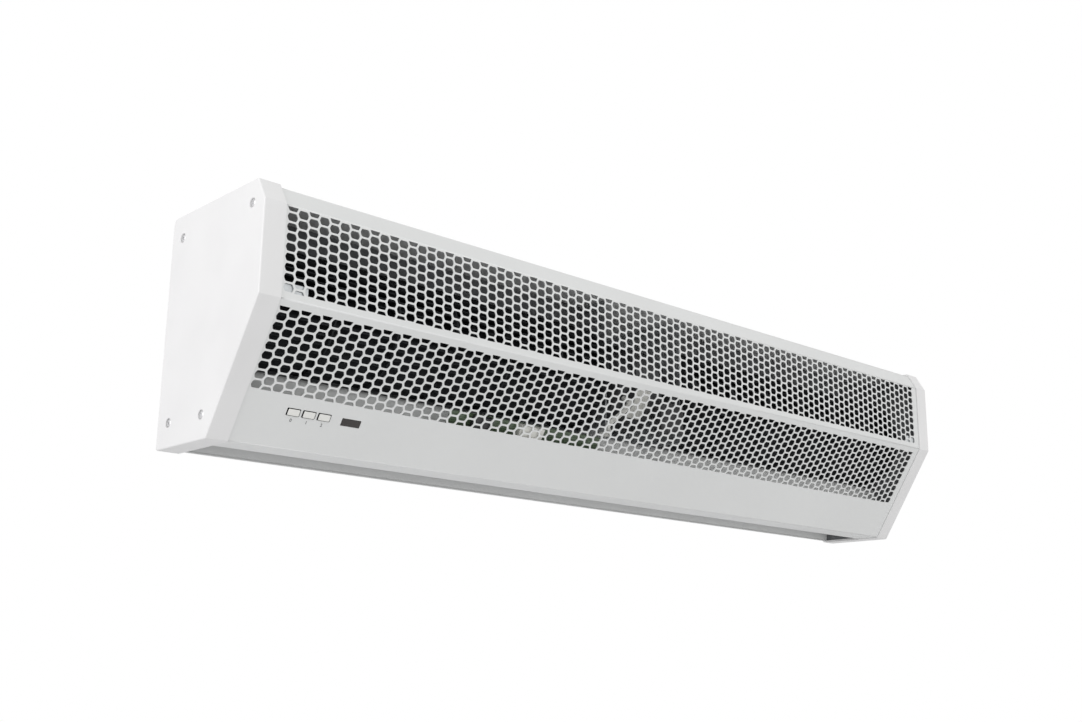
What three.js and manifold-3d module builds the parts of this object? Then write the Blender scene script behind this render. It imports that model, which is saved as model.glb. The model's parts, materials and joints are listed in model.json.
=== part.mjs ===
// Wall-hung air curtain of the 900 mm class: two cross-flow wheels on one double-shaft motor,
// behind a single folded and perforated front panel, blowing down through a slot in the underside.
//
// Millimetres. X runs along the unit, with the controls near its negative end. Y points into the
// wall and is 0 at the wall. Z points up. The origin is the centre of the wall plate's back face.
// Inside the unit group, heights are measured from the underside of the end caps.

import * as THREE from 'three';
import { mergeVertices } from 'three/addons/utils/BufferGeometryUtils.js';
import Module from 'manifold-3d';

const wasm = await Module();
wasm.setup();

// ---------------------------------------------------------------- driving sizes

// outline of the end caps, seen from the end
const LENGTH = 900;
const HEIGHT = 190;
const DEPTH = 140;
const BEVEL_DEPTH = 11; // top bevel, front to back
const BEVEL_HEIGHT = 18.5;
const KNEE_HEIGHT = 98.6; // where the upright face turns into the sloped one
const SOLE_DEPTH = 77; // how far the underside reaches from the wall
const BACK_ROUND = 5.5;
const EDGE_ROUND = 2;

// sheet metal and clearances
const PANEL_SHEET = 1;
const CASING_SHEET = 1.2;
const SCROLL_SHEET = 1;
const FIT = 0.3; // between pieces that touch
const FOLD_RADIUS = 2.5;
const CUT_MARGIN = 2; // how far a cutter runs past the faces it cuts
const ROUND_FACETS = 12; // round pieces and their seats have the same facets
const SMALL_FACETS = 8;

// end caps
const CAP_WIDTH = 19;
const CAP_WALL = 2.2;
const CAP_EDGE = 1.2; // softened outer edge
const PANEL_STEP = 1; // panel faces lie this far inside the cap's faces
const TOP_STEP = 2.6; // panel's top flange lies this far under the cap's top
const CAP_BOSS_R = 5;
const CAP_SCREW_SINK = 1.6;
const CAP_SCREW_HEAD_R = 3;
const CAP_SCREW_SHANK_R = 1.7;
const CAP_SCREW_HEAD_HEIGHT = 1.2;

// front panel
const TOP_FLANGE = 21;
const LIP_EDGE = 50; // rear edge of the bottom lip, from the wall

// perforation: columns of long hexagons, every other column half a row lower
const FIELD_LEFT_MARGIN = 2.5;
const FIELD_RIGHT_MARGIN = 9.5;
const BAND_ABOVE_KNEE = 5;
const BAND_BELOW_BEVEL = 1.6;
const BAND_BELOW_KNEE = 6;
const BAND_FOOT = 43.87; // of the lower band, up the sloped face
const HOLE_COLUMNS = 33;
const HOLE_ROWS = 3; // whole holes in a column, next to one half hole
const HOLE_FILL_X = 0.83; // hole width as a share of the column pitch
const HOLE_FILL_V = 0.8; // hole height as a share of the row pitch
const HOLE_TIP = 0.13; // length of each pointed side as a share of the hole's width

// controls on the plain band, heights measured up the sloped face
const BUTTON_INSET = 64.2; // first button, from the unit's end
const BUTTON_PITCH = 13.9;
const BUTTON_RISE = 30.8;
const BUTTON_WIDTH = 10.2;
const BUTTON_HEIGHT = 5.2;
const BUTTON_PROUD = 0.8;
const BUTTON_TRAVEL = 2.5;
const BUTTON_PLAY_X = 1; // gap round each button in the panel
const BUTTON_PLAY_V = 0.6;
const BUTTON_SHELL = 2.6; // cap depth behind the panel
const STEM_SIZE = 3;
const STEM_LENGTH = 6;
const SWITCH_WALL = 2;
const WINDOW_INSET = 117.5;
const WINDOW_RISE = 29.8;
const WINDOW_WIDTH = 17.4;
const WINDOW_HEIGHT = 5.8;
const WINDOW_RIM = 1.6;

// wall plate and the recess that takes it
const PLATE_CENTRE = 95; // height of the plate's centre above the underside
const PLATE_LENGTH = 640;
const PLATE_HEIGHT = 100;
const PLATE_SHEET = 2;
const PLATE_PLAY = 7; // free height above and below the plate in the recess
const RECESS_DEPTH = 8;
const FIXING_SPACING_X = 560;
const FIXING_SPACING_Z = 50;
const FIXING_SLOT_LENGTH = 14;
const FIXING_SLOT_WIDTH = 6;
const HOOK_SPACING = 400;
const HOOK_WIDTH = 30;
const HOOK_RISE = 38; // hook arm above the plate's centre
const HOOK_LIP = 8;

// rear casing
const CASING_BACK = 0.6; // gap between the casing's strips and the wall
const CASING_BOTTOM = 1.4;
const CASING_HEM = 5;

// wheels and air path
const AXIS_HEIGHT = 112;
const WHEEL_RADIUS = 48;
const WHEEL_BLADES = 16;
const WHEEL_RINGS = 1; // between the two end discs
const BLADE_SHEET = 1.4;
const BLADE_INNER = 0.78; // inner edge of the blades, as a share of the wheel's radius
const BLADE_LEAN = 16; // degrees by which the inner edge lags the outer edge
const BLADE_CAMBER = 2.2;
const RING_SHEET = 2.2;
const DISC_SHEET = 3;
const SCROLL_GAP_TOP = 4;
const SCROLL_GAP_REAR = 7.5;
const TONGUE_GAP = 5;
const TONGUE_REAR_ANGLE = 8; // degrees from straight under the axis, towards the wall
const TONGUE_SET_BACK = 0.9; // tongue's front wall behind the sole's edge
const TONGUE_FOOT = 12;
const TONGUE_PLAY = 2; // between the front wall's lower edge and the panel

// motor
const BULKHEAD_OFFSET = 52; // inner face of each motor bulkhead, from the middle
const BULKHEAD_FRONT = 101;
const BULKHEAD_FOOT = 14;
const BULKHEAD_FLANGE = 10;
const STATOR_RADIUS = 41;
const STATOR_WIDTH = 34;
const SHIELD_RADIUS = 34;
const SHIELD_WIDTH = 15;
const MOTOR_BOSS_RADIUS = 15;
const MOTOR_RING_RADIUS = 20;
const MOTOR_RING_WIDTH = 10;
const SHAFT_RADIUS = 5;
const HUB_RADIUS = 13;
const HUB_LENGTH = 20;
const HUB_SCREW_RADIUS = 2;
const WHEEL_TO_BULKHEAD = 8;

// outer bearings
const WHEEL_TO_SIDE = 6;
const PIN_RADIUS = 4;
const PIN_HUB_RADIUS = 10;
const PIN_HUB_LENGTH = 13;
const BEARING_RADIUS = 11;
const BEARING_WIDTH = 7;
const CUSHION_RADIUS = 16;
const CUSHION_WIDTH = 9;
const RETAINER_WALL = 1.5;
const RETAINER_FLANGE = 6;

// panel stays, beside the knee
const STAY_WIDTH = 24;
const STAY_HEIGHT = 11;

// electrical parts
const CARRIER_LEFT = 208; // from the unit's end
const CARRIER_LENGTH = 190;
const CARRIER_BOTTOM = 14; // up the sloped face
const CARRIER_TOP = 40;
const CARRIER_SHEET = 1.8;
const BOARD_STANDOFF = 4.6;
const BOARD_SHEET = 1.6;
const BOARD_BOTTOM = 18;
const BOARD_TOP = 54;
const LEAD_RADIUS = 2.6;
const RELAY = { along: 40, width: 20 }; // centre, from the carrier's left edge
const TRANSFORMER = { along: 96, width: 28 };
const CAPACITOR = { left: 10, bottom: 65, length: 32, depth: 10, height: 29 };
const BRACKET_FACE = -104.2; // front face of the capacitor's bracket
const BRACKET_LEG = 20;
const BRACKET_MARGIN = 3;
const TERMINAL = { length: 42, depth: 8, height: 16 };
const GROMMET_RADIUS = 6;

// ---------------------------------------------------------------- finishes

const finish = (color, roughness, metalness = 0) =>
  new THREE.MeshStandardMaterial({ color, roughness, metalness, flatShading: true });

const PAINT = finish('#d8dad9', 0.45);
const CAP_WHITE = finish('#dfdfdf', 0.4);
const INNER_PAINT = finish('#6f7173', 0.5);
const MOTOR_PAINT = finish('#3f4042', 0.5);
const ZINC = finish('#c3c6c8', 0.4, 0.8);
const STEEL = finish('#dadadb', 0.3, 0.9);
const RUBBER = finish('#1c1c1d', 0.9);
const WHEEL_PLASTIC = finish('#222426', 0.6);
const KEY_PLASTIC = finish('#e6e6e2', 0.4);
const DARK_PLASTIC = finish('#2b2b2d', 0.6);
const WINDOW_PLASTIC = finish('#1a1210', 0.1);
const BOARD_GREEN = finish('#4b5945', 0.5);
const PALE_PLASTIC = finish('#d8d7d2', 0.5);
const LEAD_SLEEVE = finish('#d8d8d4', 0.6);

// ---------------------------------------------------------------- plane paths

const at = (x, y) => new THREE.Vector2(x, y);
const radians = (degrees) => THREE.MathUtils.degToRad(degrees);

// Where two straight lines, each given by a point and a direction, meet.
function meet(p, d, q, e) {
  const cross = d.x * e.y - d.y * e.x;
  if (Math.abs(cross) < 1e-9) {
    return q.clone();
  }
  const t = ((q.x - p.x) * e.y - (q.y - p.y) * e.x) / cross;
  return p.clone().addScaledVector(d, t);
}

// An open path moved to its left. The distance is one number, or one for each stretch.
function offsetPath(points, distance) {
  const stretches = points.slice(1).map((end, i) => {
    const gap = Array.isArray(distance) ? distance[i] : distance;
    const along = end.clone().sub(points[i]).normalize();
    const shift = at(-along.y, along.x).multiplyScalar(gap);
    return { along, start: points[i].clone().add(shift), end: end.clone().add(shift) };
  });
  const corners = stretches.slice(1).map((next, i) => {
    const last = stretches[i];
    return meet(last.start, last.along, next.start, next.along);
  });
  return [stretches[0].start, ...corners, stretches.at(-1).end];
}

// A closed loop, listed anticlockwise, moved inward.
function offsetLoop(points, distance) {
  const looped = [points.at(-1), ...points, points[0]];
  return offsetPath(looped, distance).slice(1, -1);
}

// The arc that replaces one corner of a path.
function roundCorner(before, corner, after, radius, steps) {
  const back = before.clone().sub(corner);
  const ahead = after.clone().sub(corner);
  const reach = Math.min(back.length(), ahead.length()) / 2;
  back.normalize();
  ahead.normalize();
  const half = Math.acos(THREE.MathUtils.clamp(back.dot(ahead), -1, 1)) / 2;
  const cut = Math.min(radius / Math.tan(half), reach);
  const r = cut * Math.tan(half);
  const middle = back.clone().add(ahead).normalize();
  const centre = corner.clone().addScaledVector(middle, r / Math.sin(half));
  const from = corner.clone().addScaledVector(back, cut).sub(centre);
  const to = corner.clone().addScaledVector(ahead, cut).sub(centre);
  const turn = Math.atan2(from.x * to.y - from.y * to.x, from.dot(to));
  return Array.from({ length: steps + 1 }, (_, i) =>
    from.clone().rotateAround(at(0, 0), (turn * i) / steps).add(centre));
}

function roundPath(points, radius, steps = 2) {
  const inner = points.slice(1, -1).flatMap((corner, i) =>
    roundCorner(points[i], corner, points[i + 2], radius, steps));
  return [points[0], ...inner, points.at(-1)];
}

function roundLoop(points, radii, steps = 2) {
  const n = points.length;
  return points.flatMap((corner, i) =>
    roundCorner(points[(i + n - 1) % n], corner, points[(i + 1) % n], radii[i], steps));
}

// A folded sheet seen from the end: its path is one face, and its thickness lies to the left.
function sheet(path, thickness) {
  return new THREE.Shape([...path, ...offsetPath(path, thickness).reverse()]);
}

function rectangle(x0, x1, y0, y1) {
  return new THREE.Shape([at(x0, y0), at(x1, y0), at(x1, y1), at(x0, y1)]);
}

function circlePoints(radius, count, cx = 0, cy = 0) {
  return Array.from({ length: count }, (_, i) => {
    const angle = (i * 2 * Math.PI) / count;
    return at(cx + radius * Math.cos(angle), cy + radius * Math.sin(angle));
  });
}

// ---------------------------------------------------------------- solids

// A geometry as a closed solid for cutting and joining.
function solid(geometry) {
  const bare = geometry.clone();
  bare.deleteAttribute('normal');
  bare.deleteAttribute('uv');
  const merged = mergeVertices(bare, 1e-4);
  const corners = merged.index.array;
  const triangles = [];
  for (let i = 0; i < corners.length; i += 3) {
    const [a, b, c] = [corners[i], corners[i + 1], corners[i + 2]];
    if (a !== b && b !== c && c !== a) {
      triangles.push(a, b, c);
    }
  }
  return new wasm.Manifold(new wasm.Mesh({
    numProp: 3,
    vertProperties: new Float32Array(merged.attributes.position.array),
    triVerts: new Uint32Array(triangles),
  }));
}

function geometryOf(body) {
  const mesh = body.getMesh();
  const geometry = new THREE.BufferGeometry();
  geometry.setAttribute('position', new THREE.BufferAttribute(mesh.vertProperties, 3));
  geometry.setIndex(new THREE.BufferAttribute(mesh.triVerts, 1));
  return geometry;
}

const joined = (first, ...others) => others.reduce((sum, other) => sum.add(other), first);
const cutBy = (first, ...others) => others.reduce((rest, other) => rest.subtract(other), first);

function extrude(shapes, depth) {
  return new THREE.ExtrudeGeometry(shapes, { depth, bevelEnabled: false, curveSegments: 8 });
}

// Turns a drawing in (Y, Z) and its extrusion into a piece along X.
const ALONG_X = new THREE.Matrix4().makeBasis(
  new THREE.Vector3(0, 1, 0), new THREE.Vector3(0, 0, 1), new THREE.Vector3(1, 0, 0));

function alongX(shapes, from, to) {
  const low = Math.min(from, to);
  const geometry = extrude(shapes, Math.abs(to - from)).applyMatrix4(ALONG_X);
  return solid(geometry.translate(low, 0, 0));
}

// A drawing in (X, Z) extruded towards the front, from depth `near` to depth `far`.
function alongY(shapes, near, far) {
  const geometry = extrude(shapes, Math.abs(far - near)).rotateX(Math.PI / 2);
  return solid(geometry.translate(0, -Math.min(near, far), 0));
}

function alongZ(shapes, bottom, top) {
  return solid(extrude(shapes, top - bottom).translate(0, 0, bottom));
}

function block(x0, x1, y0, y1, z0, z1) {
  return alongZ(rectangle(x0, x1, y0, y1), z0, z1);
}

// A round piece about the X axis through (0, 0), from [position along X, radius] pairs.
// A profile that is closed on itself makes a ring, and one that starts and ends on the axis a plug.
function turned(profile, segments) {
  const points = profile.map(([x, r]) => at(r, x));
  const geometry = new THREE.LatheGeometry(points, segments);
  return solid(geometry.rotateZ(-Math.PI / 2));
}

// A ring's profile, with its last point back on its first.
function ringProfile(x0, x1, inner, outer) {
  return [[x0, inner], [x0, outer], [x1, outer], [x1, inner], [x0, inner]];
}

function plugProfile(x0, x1, radius) {
  return [[x0, 0], [x0, radius], [x1, radius], [x1, 0]];
}

// ---------------------------------------------------------------- the unit

const unit = new THREE.Group();
unit.position.z = -PLATE_CENTRE;

function add(name, body, material, parent = unit) {
  const mesh = new THREE.Mesh(geometryOf(body), material);
  mesh.name = name;
  parent.add(mesh);
  return mesh;
}

const SIDES = [['left', -1], ['right', 1]];

// ---------------------------------------------------------------- shared places

const HALF = LENGTH / 2;
const CAP_INNER = HALF - CAP_WIDTH; // inner edge of each cap, and the side plate's inner face
const BODY_HALF = CAP_INNER - FIT; // where the long sheets end

// anticlockwise from the lower rear corner, seen with the wall on the right
const OUTLINE = [
  at(0, 0),
  at(0, HEIGHT),
  at(-(DEPTH - BEVEL_DEPTH), HEIGHT),
  at(-DEPTH, HEIGHT - BEVEL_HEIGHT),
  at(-DEPTH, KNEE_HEIGHT),
  at(-SOLE_DEPTH, 0),
];
const OUTLINE_ROUNDS = [EDGE_ROUND, BACK_ROUND, EDGE_ROUND, EDGE_ROUND, EDGE_ROUND, EDGE_ROUND];

// The outline moved inward, with its corners rounded about the same centres.
function outlineLoop(inset) {
  const rounds = OUTLINE_ROUNDS.map((radius) => Math.max(radius - inset, EDGE_ROUND / 4));
  return roundLoop(offsetLoop(OUTLINE, inset), rounds, inset > 0 ? 1 : 2);
}

// front panel's outer face, from the top flange down to the bottom lip
const [, REAR_TOP, BEVEL_TOP, BEVEL_FOOT, KNEE, SOLE] = OUTLINE;
const PANEL_OUTER = offsetPath(
  [at(BEVEL_TOP.x + TOP_FLANGE, REAR_TOP.y), BEVEL_TOP, BEVEL_FOOT, KNEE, SOLE, at(-LIP_EDGE, 0)],
  [TOP_STEP, PANEL_STEP, PANEL_STEP, PANEL_STEP, PANEL_STEP]);
const PANEL_KNEE = PANEL_OUTER[3];
const PANEL_SOLE = PANEL_OUTER[4];
const LIP_TOP = PANEL_STEP + PANEL_SHEET;
const CASING_TOP = HEIGHT - TOP_STEP - PANEL_SHEET - FIT;

// the panel's sloped inner face: its height where it stands at depth y
const SLOPE_INNER = offsetPath([PANEL_KNEE, PANEL_SOLE], PANEL_SHEET);
function slopeHeight(y) {
  const [high, low] = SLOPE_INNER;
  return low.y + ((low.x - y) / (low.x - high.x)) * (high.y - low.y);
}

// rear casing's outer face, from the bottom hem up to the top's front edge
const RECESS_TOP = PLATE_CENTRE + PLATE_HEIGHT / 2 + PLATE_PLAY;
const RECESS_BOTTOM = PLATE_CENTRE - PLATE_HEIGHT / 2 - PLATE_PLAY;
const CASING_OUTER = [
  at(-CASING_BACK - CASING_HEM, CASING_BOTTOM),
  at(-CASING_BACK, CASING_BOTTOM),
  at(-CASING_BACK, RECESS_BOTTOM - RECESS_DEPTH),
  at(-RECESS_DEPTH, RECESS_BOTTOM),
  at(-RECESS_DEPTH, RECESS_TOP),
  at(-CASING_BACK, RECESS_TOP + RECESS_DEPTH),
  at(-CASING_BACK, CASING_TOP),
  at(BEVEL_TOP.x + FOLD_RADIUS + PANEL_SHEET, CASING_TOP),
];
const LINING = offsetPath(CASING_OUTER, CASING_SHEET + FIT); // what seats on the casing's inside
const FOLDED_LINING = offsetPath(roundPath(CASING_OUTER, FOLD_RADIUS), CASING_SHEET + FIT);
const RECESS_FACE = LINING[3].x;

// wheel axis
const AXIS_Y = RECESS_FACE - SCROLL_SHEET - SCROLL_GAP_REAR - WHEEL_RADIUS;
const AXIS_Z = AXIS_HEIGHT;
const WHEEL_INNER_END = BULKHEAD_OFFSET + CASING_SHEET + WHEEL_TO_BULKHEAD;
const WHEEL_OUTER_END = CAP_INNER - WHEEL_TO_SIDE;

// tongue channel: over the foot, up the outlet's front wall, round the wheel and down the front wall
const TONGUE_RADIUS = WHEEL_RADIUS + TONGUE_GAP;
const TONGUE_FACE = -(SOLE_DEPTH - TONGUE_SET_BACK);
const TONGUE_FRONT_ANGLE = Math.asin((TONGUE_FACE - AXIS_Y) / TONGUE_RADIUS);
const TONGUE_SKIRT = Math.max(slopeHeight(TONGUE_FACE - TONGUE_PLAY), LIP_TOP + FIT);

// Points on a circle under the wheel, from the front angle to the rear angle.
function underWheel(radius, steps = 4) {
  const rear = radians(TONGUE_REAR_ANGLE);
  return Array.from({ length: steps + 1 }, (_, i) => {
    const angle = THREE.MathUtils.lerp(TONGUE_FRONT_ANGLE, rear, i / steps);
    return at(AXIS_Y + radius * Math.sin(angle), AXIS_Z - radius * Math.cos(angle));
  });
}
const TONGUE_TOP = underWheel(TONGUE_RADIUS);
const TONGUE_PATH = [
  at(-LIP_EDGE - TONGUE_FOOT, LIP_TOP + FIT),
  at(-LIP_EDGE - FIT, LIP_TOP + FIT),
  ...TONGUE_TOP.toReversed(),
  at(TONGUE_FACE, TONGUE_SKIRT),
];

// ---------------------------------------------------------------- wall plate

function wallPlate() {
  const top = PLATE_CENTRE + PLATE_HEIGHT / 2;
  const bottom = PLATE_CENTRE - PLATE_HEIGHT / 2;
  const reach = -(RECESS_DEPTH - FIT);
  const path = [at(reach, bottom), at(0, bottom), at(0, top), at(reach, top)];
  const half = PLATE_LENGTH / 2;
  const channel = alongX(sheet(path, PLATE_SHEET), -half, half);
  const lips = [-1, 1].map((side) => wallHook((side * HOOK_SPACING) / 2));
  const slots = [];
  for (const sx of [-1, 1]) {
    for (const sz of [-1, 1]) {
      const cx = (sx * FIXING_SPACING_X) / 2;
      const cz = PLATE_CENTRE + (sz * FIXING_SPACING_Z) / 2;
      slots.push(slotShape(cx, cz, FIXING_SLOT_LENGTH, FIXING_SLOT_WIDTH));
    }
  }
  for (const side of [-1, 1]) { // windows that the hooks were folded out of
    const cx = (side * HOOK_SPACING) / 2;
    const arm = PLATE_CENTRE + HOOK_RISE - PLATE_SHEET;
    slots.push(rectangle(cx - HOOK_WIDTH / 2, cx + HOOK_WIDTH / 2, arm - 2 * HOOK_LIP, arm - FIT));
  }
  const cuts = alongY(slots, -CUT_MARGIN, PLATE_SHEET + CUT_MARGIN);
  return joined(channel.subtract(cuts), ...lips);
}

// A slot along X with rounded ends.
function slotShape(cx, cz, length, width) {
  const r = width / 2;
  const reach = length / 2 - r;
  const end = (side) => [-60, -20, 20, 60].map((degrees) => {
    const angle = radians(degrees) + (side < 0 ? Math.PI : 0);
    return at(cx + side * reach + r * Math.cos(angle), cz + r * Math.sin(angle));
  });
  return new THREE.Shape([...end(1), ...end(-1)]);
}

// An arm through the casing's slot, with a lip turned up behind the casing's sheet.
function wallHook(cx) {
  const z = PLATE_CENTRE + HOOK_RISE;
  const tip = RECESS_FACE - PLATE_SHEET;
  const path = [at(-PLATE_SHEET / 2, z - PLATE_SHEET), at(tip, z - PLATE_SHEET), at(tip, z + HOOK_LIP)];
  const shape = sheet(path, -PLATE_SHEET);
  return alongX(shape, cx - HOOK_WIDTH / 2, cx + HOOK_WIDTH / 2);
}

// ---------------------------------------------------------------- rear casing and air path

const PANEL_SCREW_DEPTH = -BEVEL_TOP.x - TOP_FLANGE + 7;
const PANEL_SCREW_SPACING = LENGTH / 3;

function rearCasing() {
  const path = roundPath(CASING_OUTER, FOLD_RADIUS);
  const shell = alongX(sheet(path, CASING_SHEET), -BODY_HALF, BODY_HALF);
  const z = PLATE_CENTRE + HOOK_RISE;
  const slots = [-1, 1].map((side) => {
    const cx = (side * HOOK_SPACING) / 2;
    const play = HOOK_WIDTH / 2 + 2 * PLATE_SHEET;
    return rectangle(cx - play, cx + play, z - HOOK_LIP - 2 * PLATE_SHEET, z + FIT);
  });
  const hookSlots = alongY(slots, RECESS_DEPTH - CUT_MARGIN, RECESS_DEPTH + CASING_SHEET + CUT_MARGIN);
  return cutBy(shell, hookSlots, ...panelScrewPlaces().map((x) => panelScrewHole(x)));
}

function panelScrewPlaces() {
  return [-1, 0, 1].map((i) => i * PANEL_SCREW_SPACING);
}

function panelScrewHole(x) {
  const shape = new THREE.Shape(circlePoints(CAP_SCREW_SHANK_R + FIT, SMALL_FACETS, x, -PANEL_SCREW_DEPTH));
  return alongZ(shape, CASING_TOP - CASING_SHEET - CUT_MARGIN, HEIGHT);
}

// back face of the outlet's rear wall: it stands on the casing's hem and leans back to the recess
const WALL_FOOT = at(CASING_OUTER[0].x + SCROLL_SHEET, LINING[1].y);
function onWall(height) {
  return WALL_FOOT.clone().lerp(LINING[3], (height - WALL_FOOT.y) / (LINING[3].y - WALL_FOOT.y));
}

// Strip along the whole mouth, from the casing's hem up to where the scrolls go on.
function outletWall() {
  const path = [WALL_FOOT, onWall(BULKHEAD_FOOT - FIT)];
  return alongX(sheet(path, SCROLL_SHEET), -BODY_HALF, BODY_HALF);
}

// Scroll sheet from the outlet wall up to the recess, round the wheel and up to the casing's top.
function scroll(side) {
  const rear = -AXIS_Y + RECESS_FACE;
  const top = WHEEL_RADIUS + SCROLL_GAP_TOP + SCROLL_SHEET;
  const steps = 7;
  const arc = Array.from({ length: steps + 1 }, (_, i) => {
    const angle = ((steps - i) / steps) * (Math.PI / 2);
    const r = THREE.MathUtils.lerp(top, rear, (steps - i) / steps);
    return at(AXIS_Y + r * Math.sin(angle), AXIS_Z + r * Math.cos(angle));
  });
  const ceiling = CASING_TOP - CASING_SHEET - FIT;
  const path = [onWall(BULKHEAD_FOOT), LINING[3], ...arc, at(arc.at(-1).x, ceiling)];
  const inner = BULKHEAD_OFFSET + CASING_SHEET + FIT;
  return alongX(sheet(path, SCROLL_SHEET), side * inner, side * BODY_HALF);
}

function tongueChannel() {
  return alongX(sheet(TONGUE_PATH, SCROLL_SHEET), -BODY_HALF, BODY_HALF);
}

// ---------------------------------------------------------------- front panel

// The frame of one flat face: local X along the unit, Y up the face, Z outwards.
function faceMatrix(foot, head) {
  const up = head.clone().sub(foot).normalize();
  const x = new THREE.Vector3(1, 0, 0);
  const v = new THREE.Vector3(0, up.x, up.y);
  return new THREE.Matrix4()
    .makeBasis(x, v, x.clone().cross(v))
    .setPosition(0, foot.x, foot.y);
}

const UPPER_FACE = faceMatrix(PANEL_KNEE, PANEL_OUTER[2]);
const LOWER_FACE = faceMatrix(PANEL_SOLE, PANEL_KNEE);
const LOWER_LENGTH = PANEL_SOLE.distanceTo(PANEL_KNEE);

// A long hexagon with flat top and bottom, or its upper or lower half.
function hexagon(cx, cv, width, height, part) {
  const a = width / 2;
  const h = height / 2;
  const b = a - width * HOLE_TIP;
  const lower = [at(cx - a, cv), at(cx - b, cv - h), at(cx + b, cv - h), at(cx + a, cv)];
  const upper = [at(cx + a, cv), at(cx + b, cv + h), at(cx - b, cv + h), at(cx - a, cv)];
  const points = { lower, upper, whole: [...lower, upper[1], upper[2]] };
  return new THREE.Shape(points[part]);
}

// One band of the grille. Its odd columns end in a half hole at the top, the others at the bottom.
function perforation(foot, head) {
  const left = -CAP_INNER + FIELD_LEFT_MARGIN;
  const right = CAP_INNER - FIELD_RIGHT_MARGIN;
  const pitchX = (right - left) / (HOLE_COLUMNS - 1 + HOLE_FILL_X);
  const pitchV = (head - foot) / (HOLE_ROWS + 0.5);
  const width = pitchX * HOLE_FILL_X;
  const height = pitchV * HOLE_FILL_V;
  const shapes = [];
  for (let column = 0; column < HOLE_COLUMNS; column += 1) {
    const cx = left + width / 2 + column * pitchX;
    const odd = column % 2 === 0;
    const first = odd ? 1 : 0.5;
    for (let row = 0; row < HOLE_ROWS; row += 1) {
      shapes.push(hexagon(cx, head - (row + first) * pitchV, width, height, 'whole'));
    }
    shapes.push(odd
      ? hexagon(cx, head, width, height, 'lower')
      : hexagon(cx, foot, width, height, 'upper'));
  }
  return shapes;
}

function throughFace(shapes, face) {
  const depth = PANEL_SHEET + 2 * CUT_MARGIN;
  const geometry = extrude(shapes, depth).translate(0, 0, -PANEL_SHEET - CUT_MARGIN);
  return solid(geometry.applyMatrix4(face));
}

const BUTTON_PLACES = [0, 1, 2].map((i) => -HALF + BUTTON_INSET + i * BUTTON_PITCH);
const WINDOW_X = -HALF + WINDOW_INSET;

function centred(cx, cy, width, height) {
  return rectangle(cx - width / 2, cx + width / 2, cy - height / 2, cy + height / 2);
}

function frontPanel() {
  const path = roundPath(PANEL_OUTER, FOLD_RADIUS);
  const folded = alongX(sheet(path, PANEL_SHEET), -BODY_HALF, BODY_HALF);
  const upper = perforation(BAND_ABOVE_KNEE, BEVEL_FOOT.y - KNEE.y - BAND_BELOW_BEVEL);
  const lower = perforation(BAND_FOOT, LOWER_LENGTH - BAND_BELOW_KNEE);
  const buttonWidth = BUTTON_WIDTH + 2 * BUTTON_PLAY_X;
  const buttonHeight = BUTTON_HEIGHT + 2 * BUTTON_PLAY_V;
  const openings = BUTTON_PLACES.map((x) => centred(x, BUTTON_RISE, buttonWidth, buttonHeight));
  openings.push(centred(WINDOW_X, WINDOW_RISE, WINDOW_WIDTH + 2 * FIT, WINDOW_HEIGHT + 2 * FIT));
  return cutBy(
    folded,
    throughFace(upper, UPPER_FACE),
    throughFace(lower, LOWER_FACE),
    throughFace(openings, LOWER_FACE),
    ...panelScrewPlaces().map((x) => panelScrewHole(x)));
}

// A domed screw along +X, its head's seat at X = 0 and its shank on the negative side.
function screw(headRadius, headHeight, shankRadius, length) {
  return turned([
    [-length, 0],
    [-length, shankRadius],
    [0, shankRadius],
    [0, headRadius],
    [headHeight, headRadius * 0.6],
    [headHeight, 0],
  ], SMALL_FACETS);
}

// ---------------------------------------------------------------- ends

const CAP_SCREW_PLACES = [
  at(-17.3, HEIGHT - 19.8),
  at(-(DEPTH - 17.1), HEIGHT - 18.3),
  at(-(SOLE_DEPTH - 8.8), 19.3),
  at(-17.6, 19.8),
];
const CAP_BOSS_END = CAP_INNER + CASING_SHEET + FIT;
const CAP_SCREW_SEAT = HALF - CAP_SCREW_SINK + FIT;

function endCap(side) {
  const block = new THREE.ExtrudeGeometry(new THREE.Shape(outlineLoop(0)), {
    depth: CAP_WIDTH,
    bevelThickness: CAP_EDGE,
    bevelSize: CAP_EDGE,
    bevelOffset: -CAP_EDGE,
    bevelSegments: 2,
  });
  block.translate(0, 0, -CAP_WIDTH / 2).applyMatrix4(ALONG_X);
  block.translate(side * (HALF - CAP_EDGE - CAP_WIDTH / 2), 0, 0);
  const tall = rectangle(-2 * DEPTH, DEPTH, -HEIGHT, 2 * HEIGHT);
  const trim = alongX(tall, side * (CAP_INNER - 3 * CAP_WIDTH), side * CAP_INNER);
  const hollow = new THREE.Shape(outlineLoop(CAP_WALL));
  const cavity = alongX(hollow, side * (CAP_INNER - CUT_MARGIN), side * (HALF - CAP_WALL));
  const cap = cutBy(solid(block), trim, cavity);
  const bosses = CAP_SCREW_PLACES.map((p) => {
    const shape = new THREE.Shape(circlePoints(CAP_BOSS_R, SMALL_FACETS, p.x, p.y));
    return alongX(shape, side * CAP_BOSS_END, side * (HALF - CAP_WALL / 2));
  });
  const bores = CAP_SCREW_PLACES.flatMap((p) => [
    screwBore(p, side * (CAP_BOSS_END - CUT_MARGIN), side * HALF, CAP_SCREW_SHANK_R + FIT),
    screwBore(p, side * (HALF - CAP_SCREW_SINK), side * (HALF + CUT_MARGIN), CAP_SCREW_HEAD_R + 3 * FIT),
  ]);
  const whole = cutBy(joined(cap, ...bosses), ...bores);
  return side > 0 ? whole.subtract(grommetHole()) : whole;
}

function screwBore(place, from, to, radius) {
  return alongX(new THREE.Shape(circlePoints(radius, SMALL_FACETS, place.x, place.y)), from, to);
}

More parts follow.
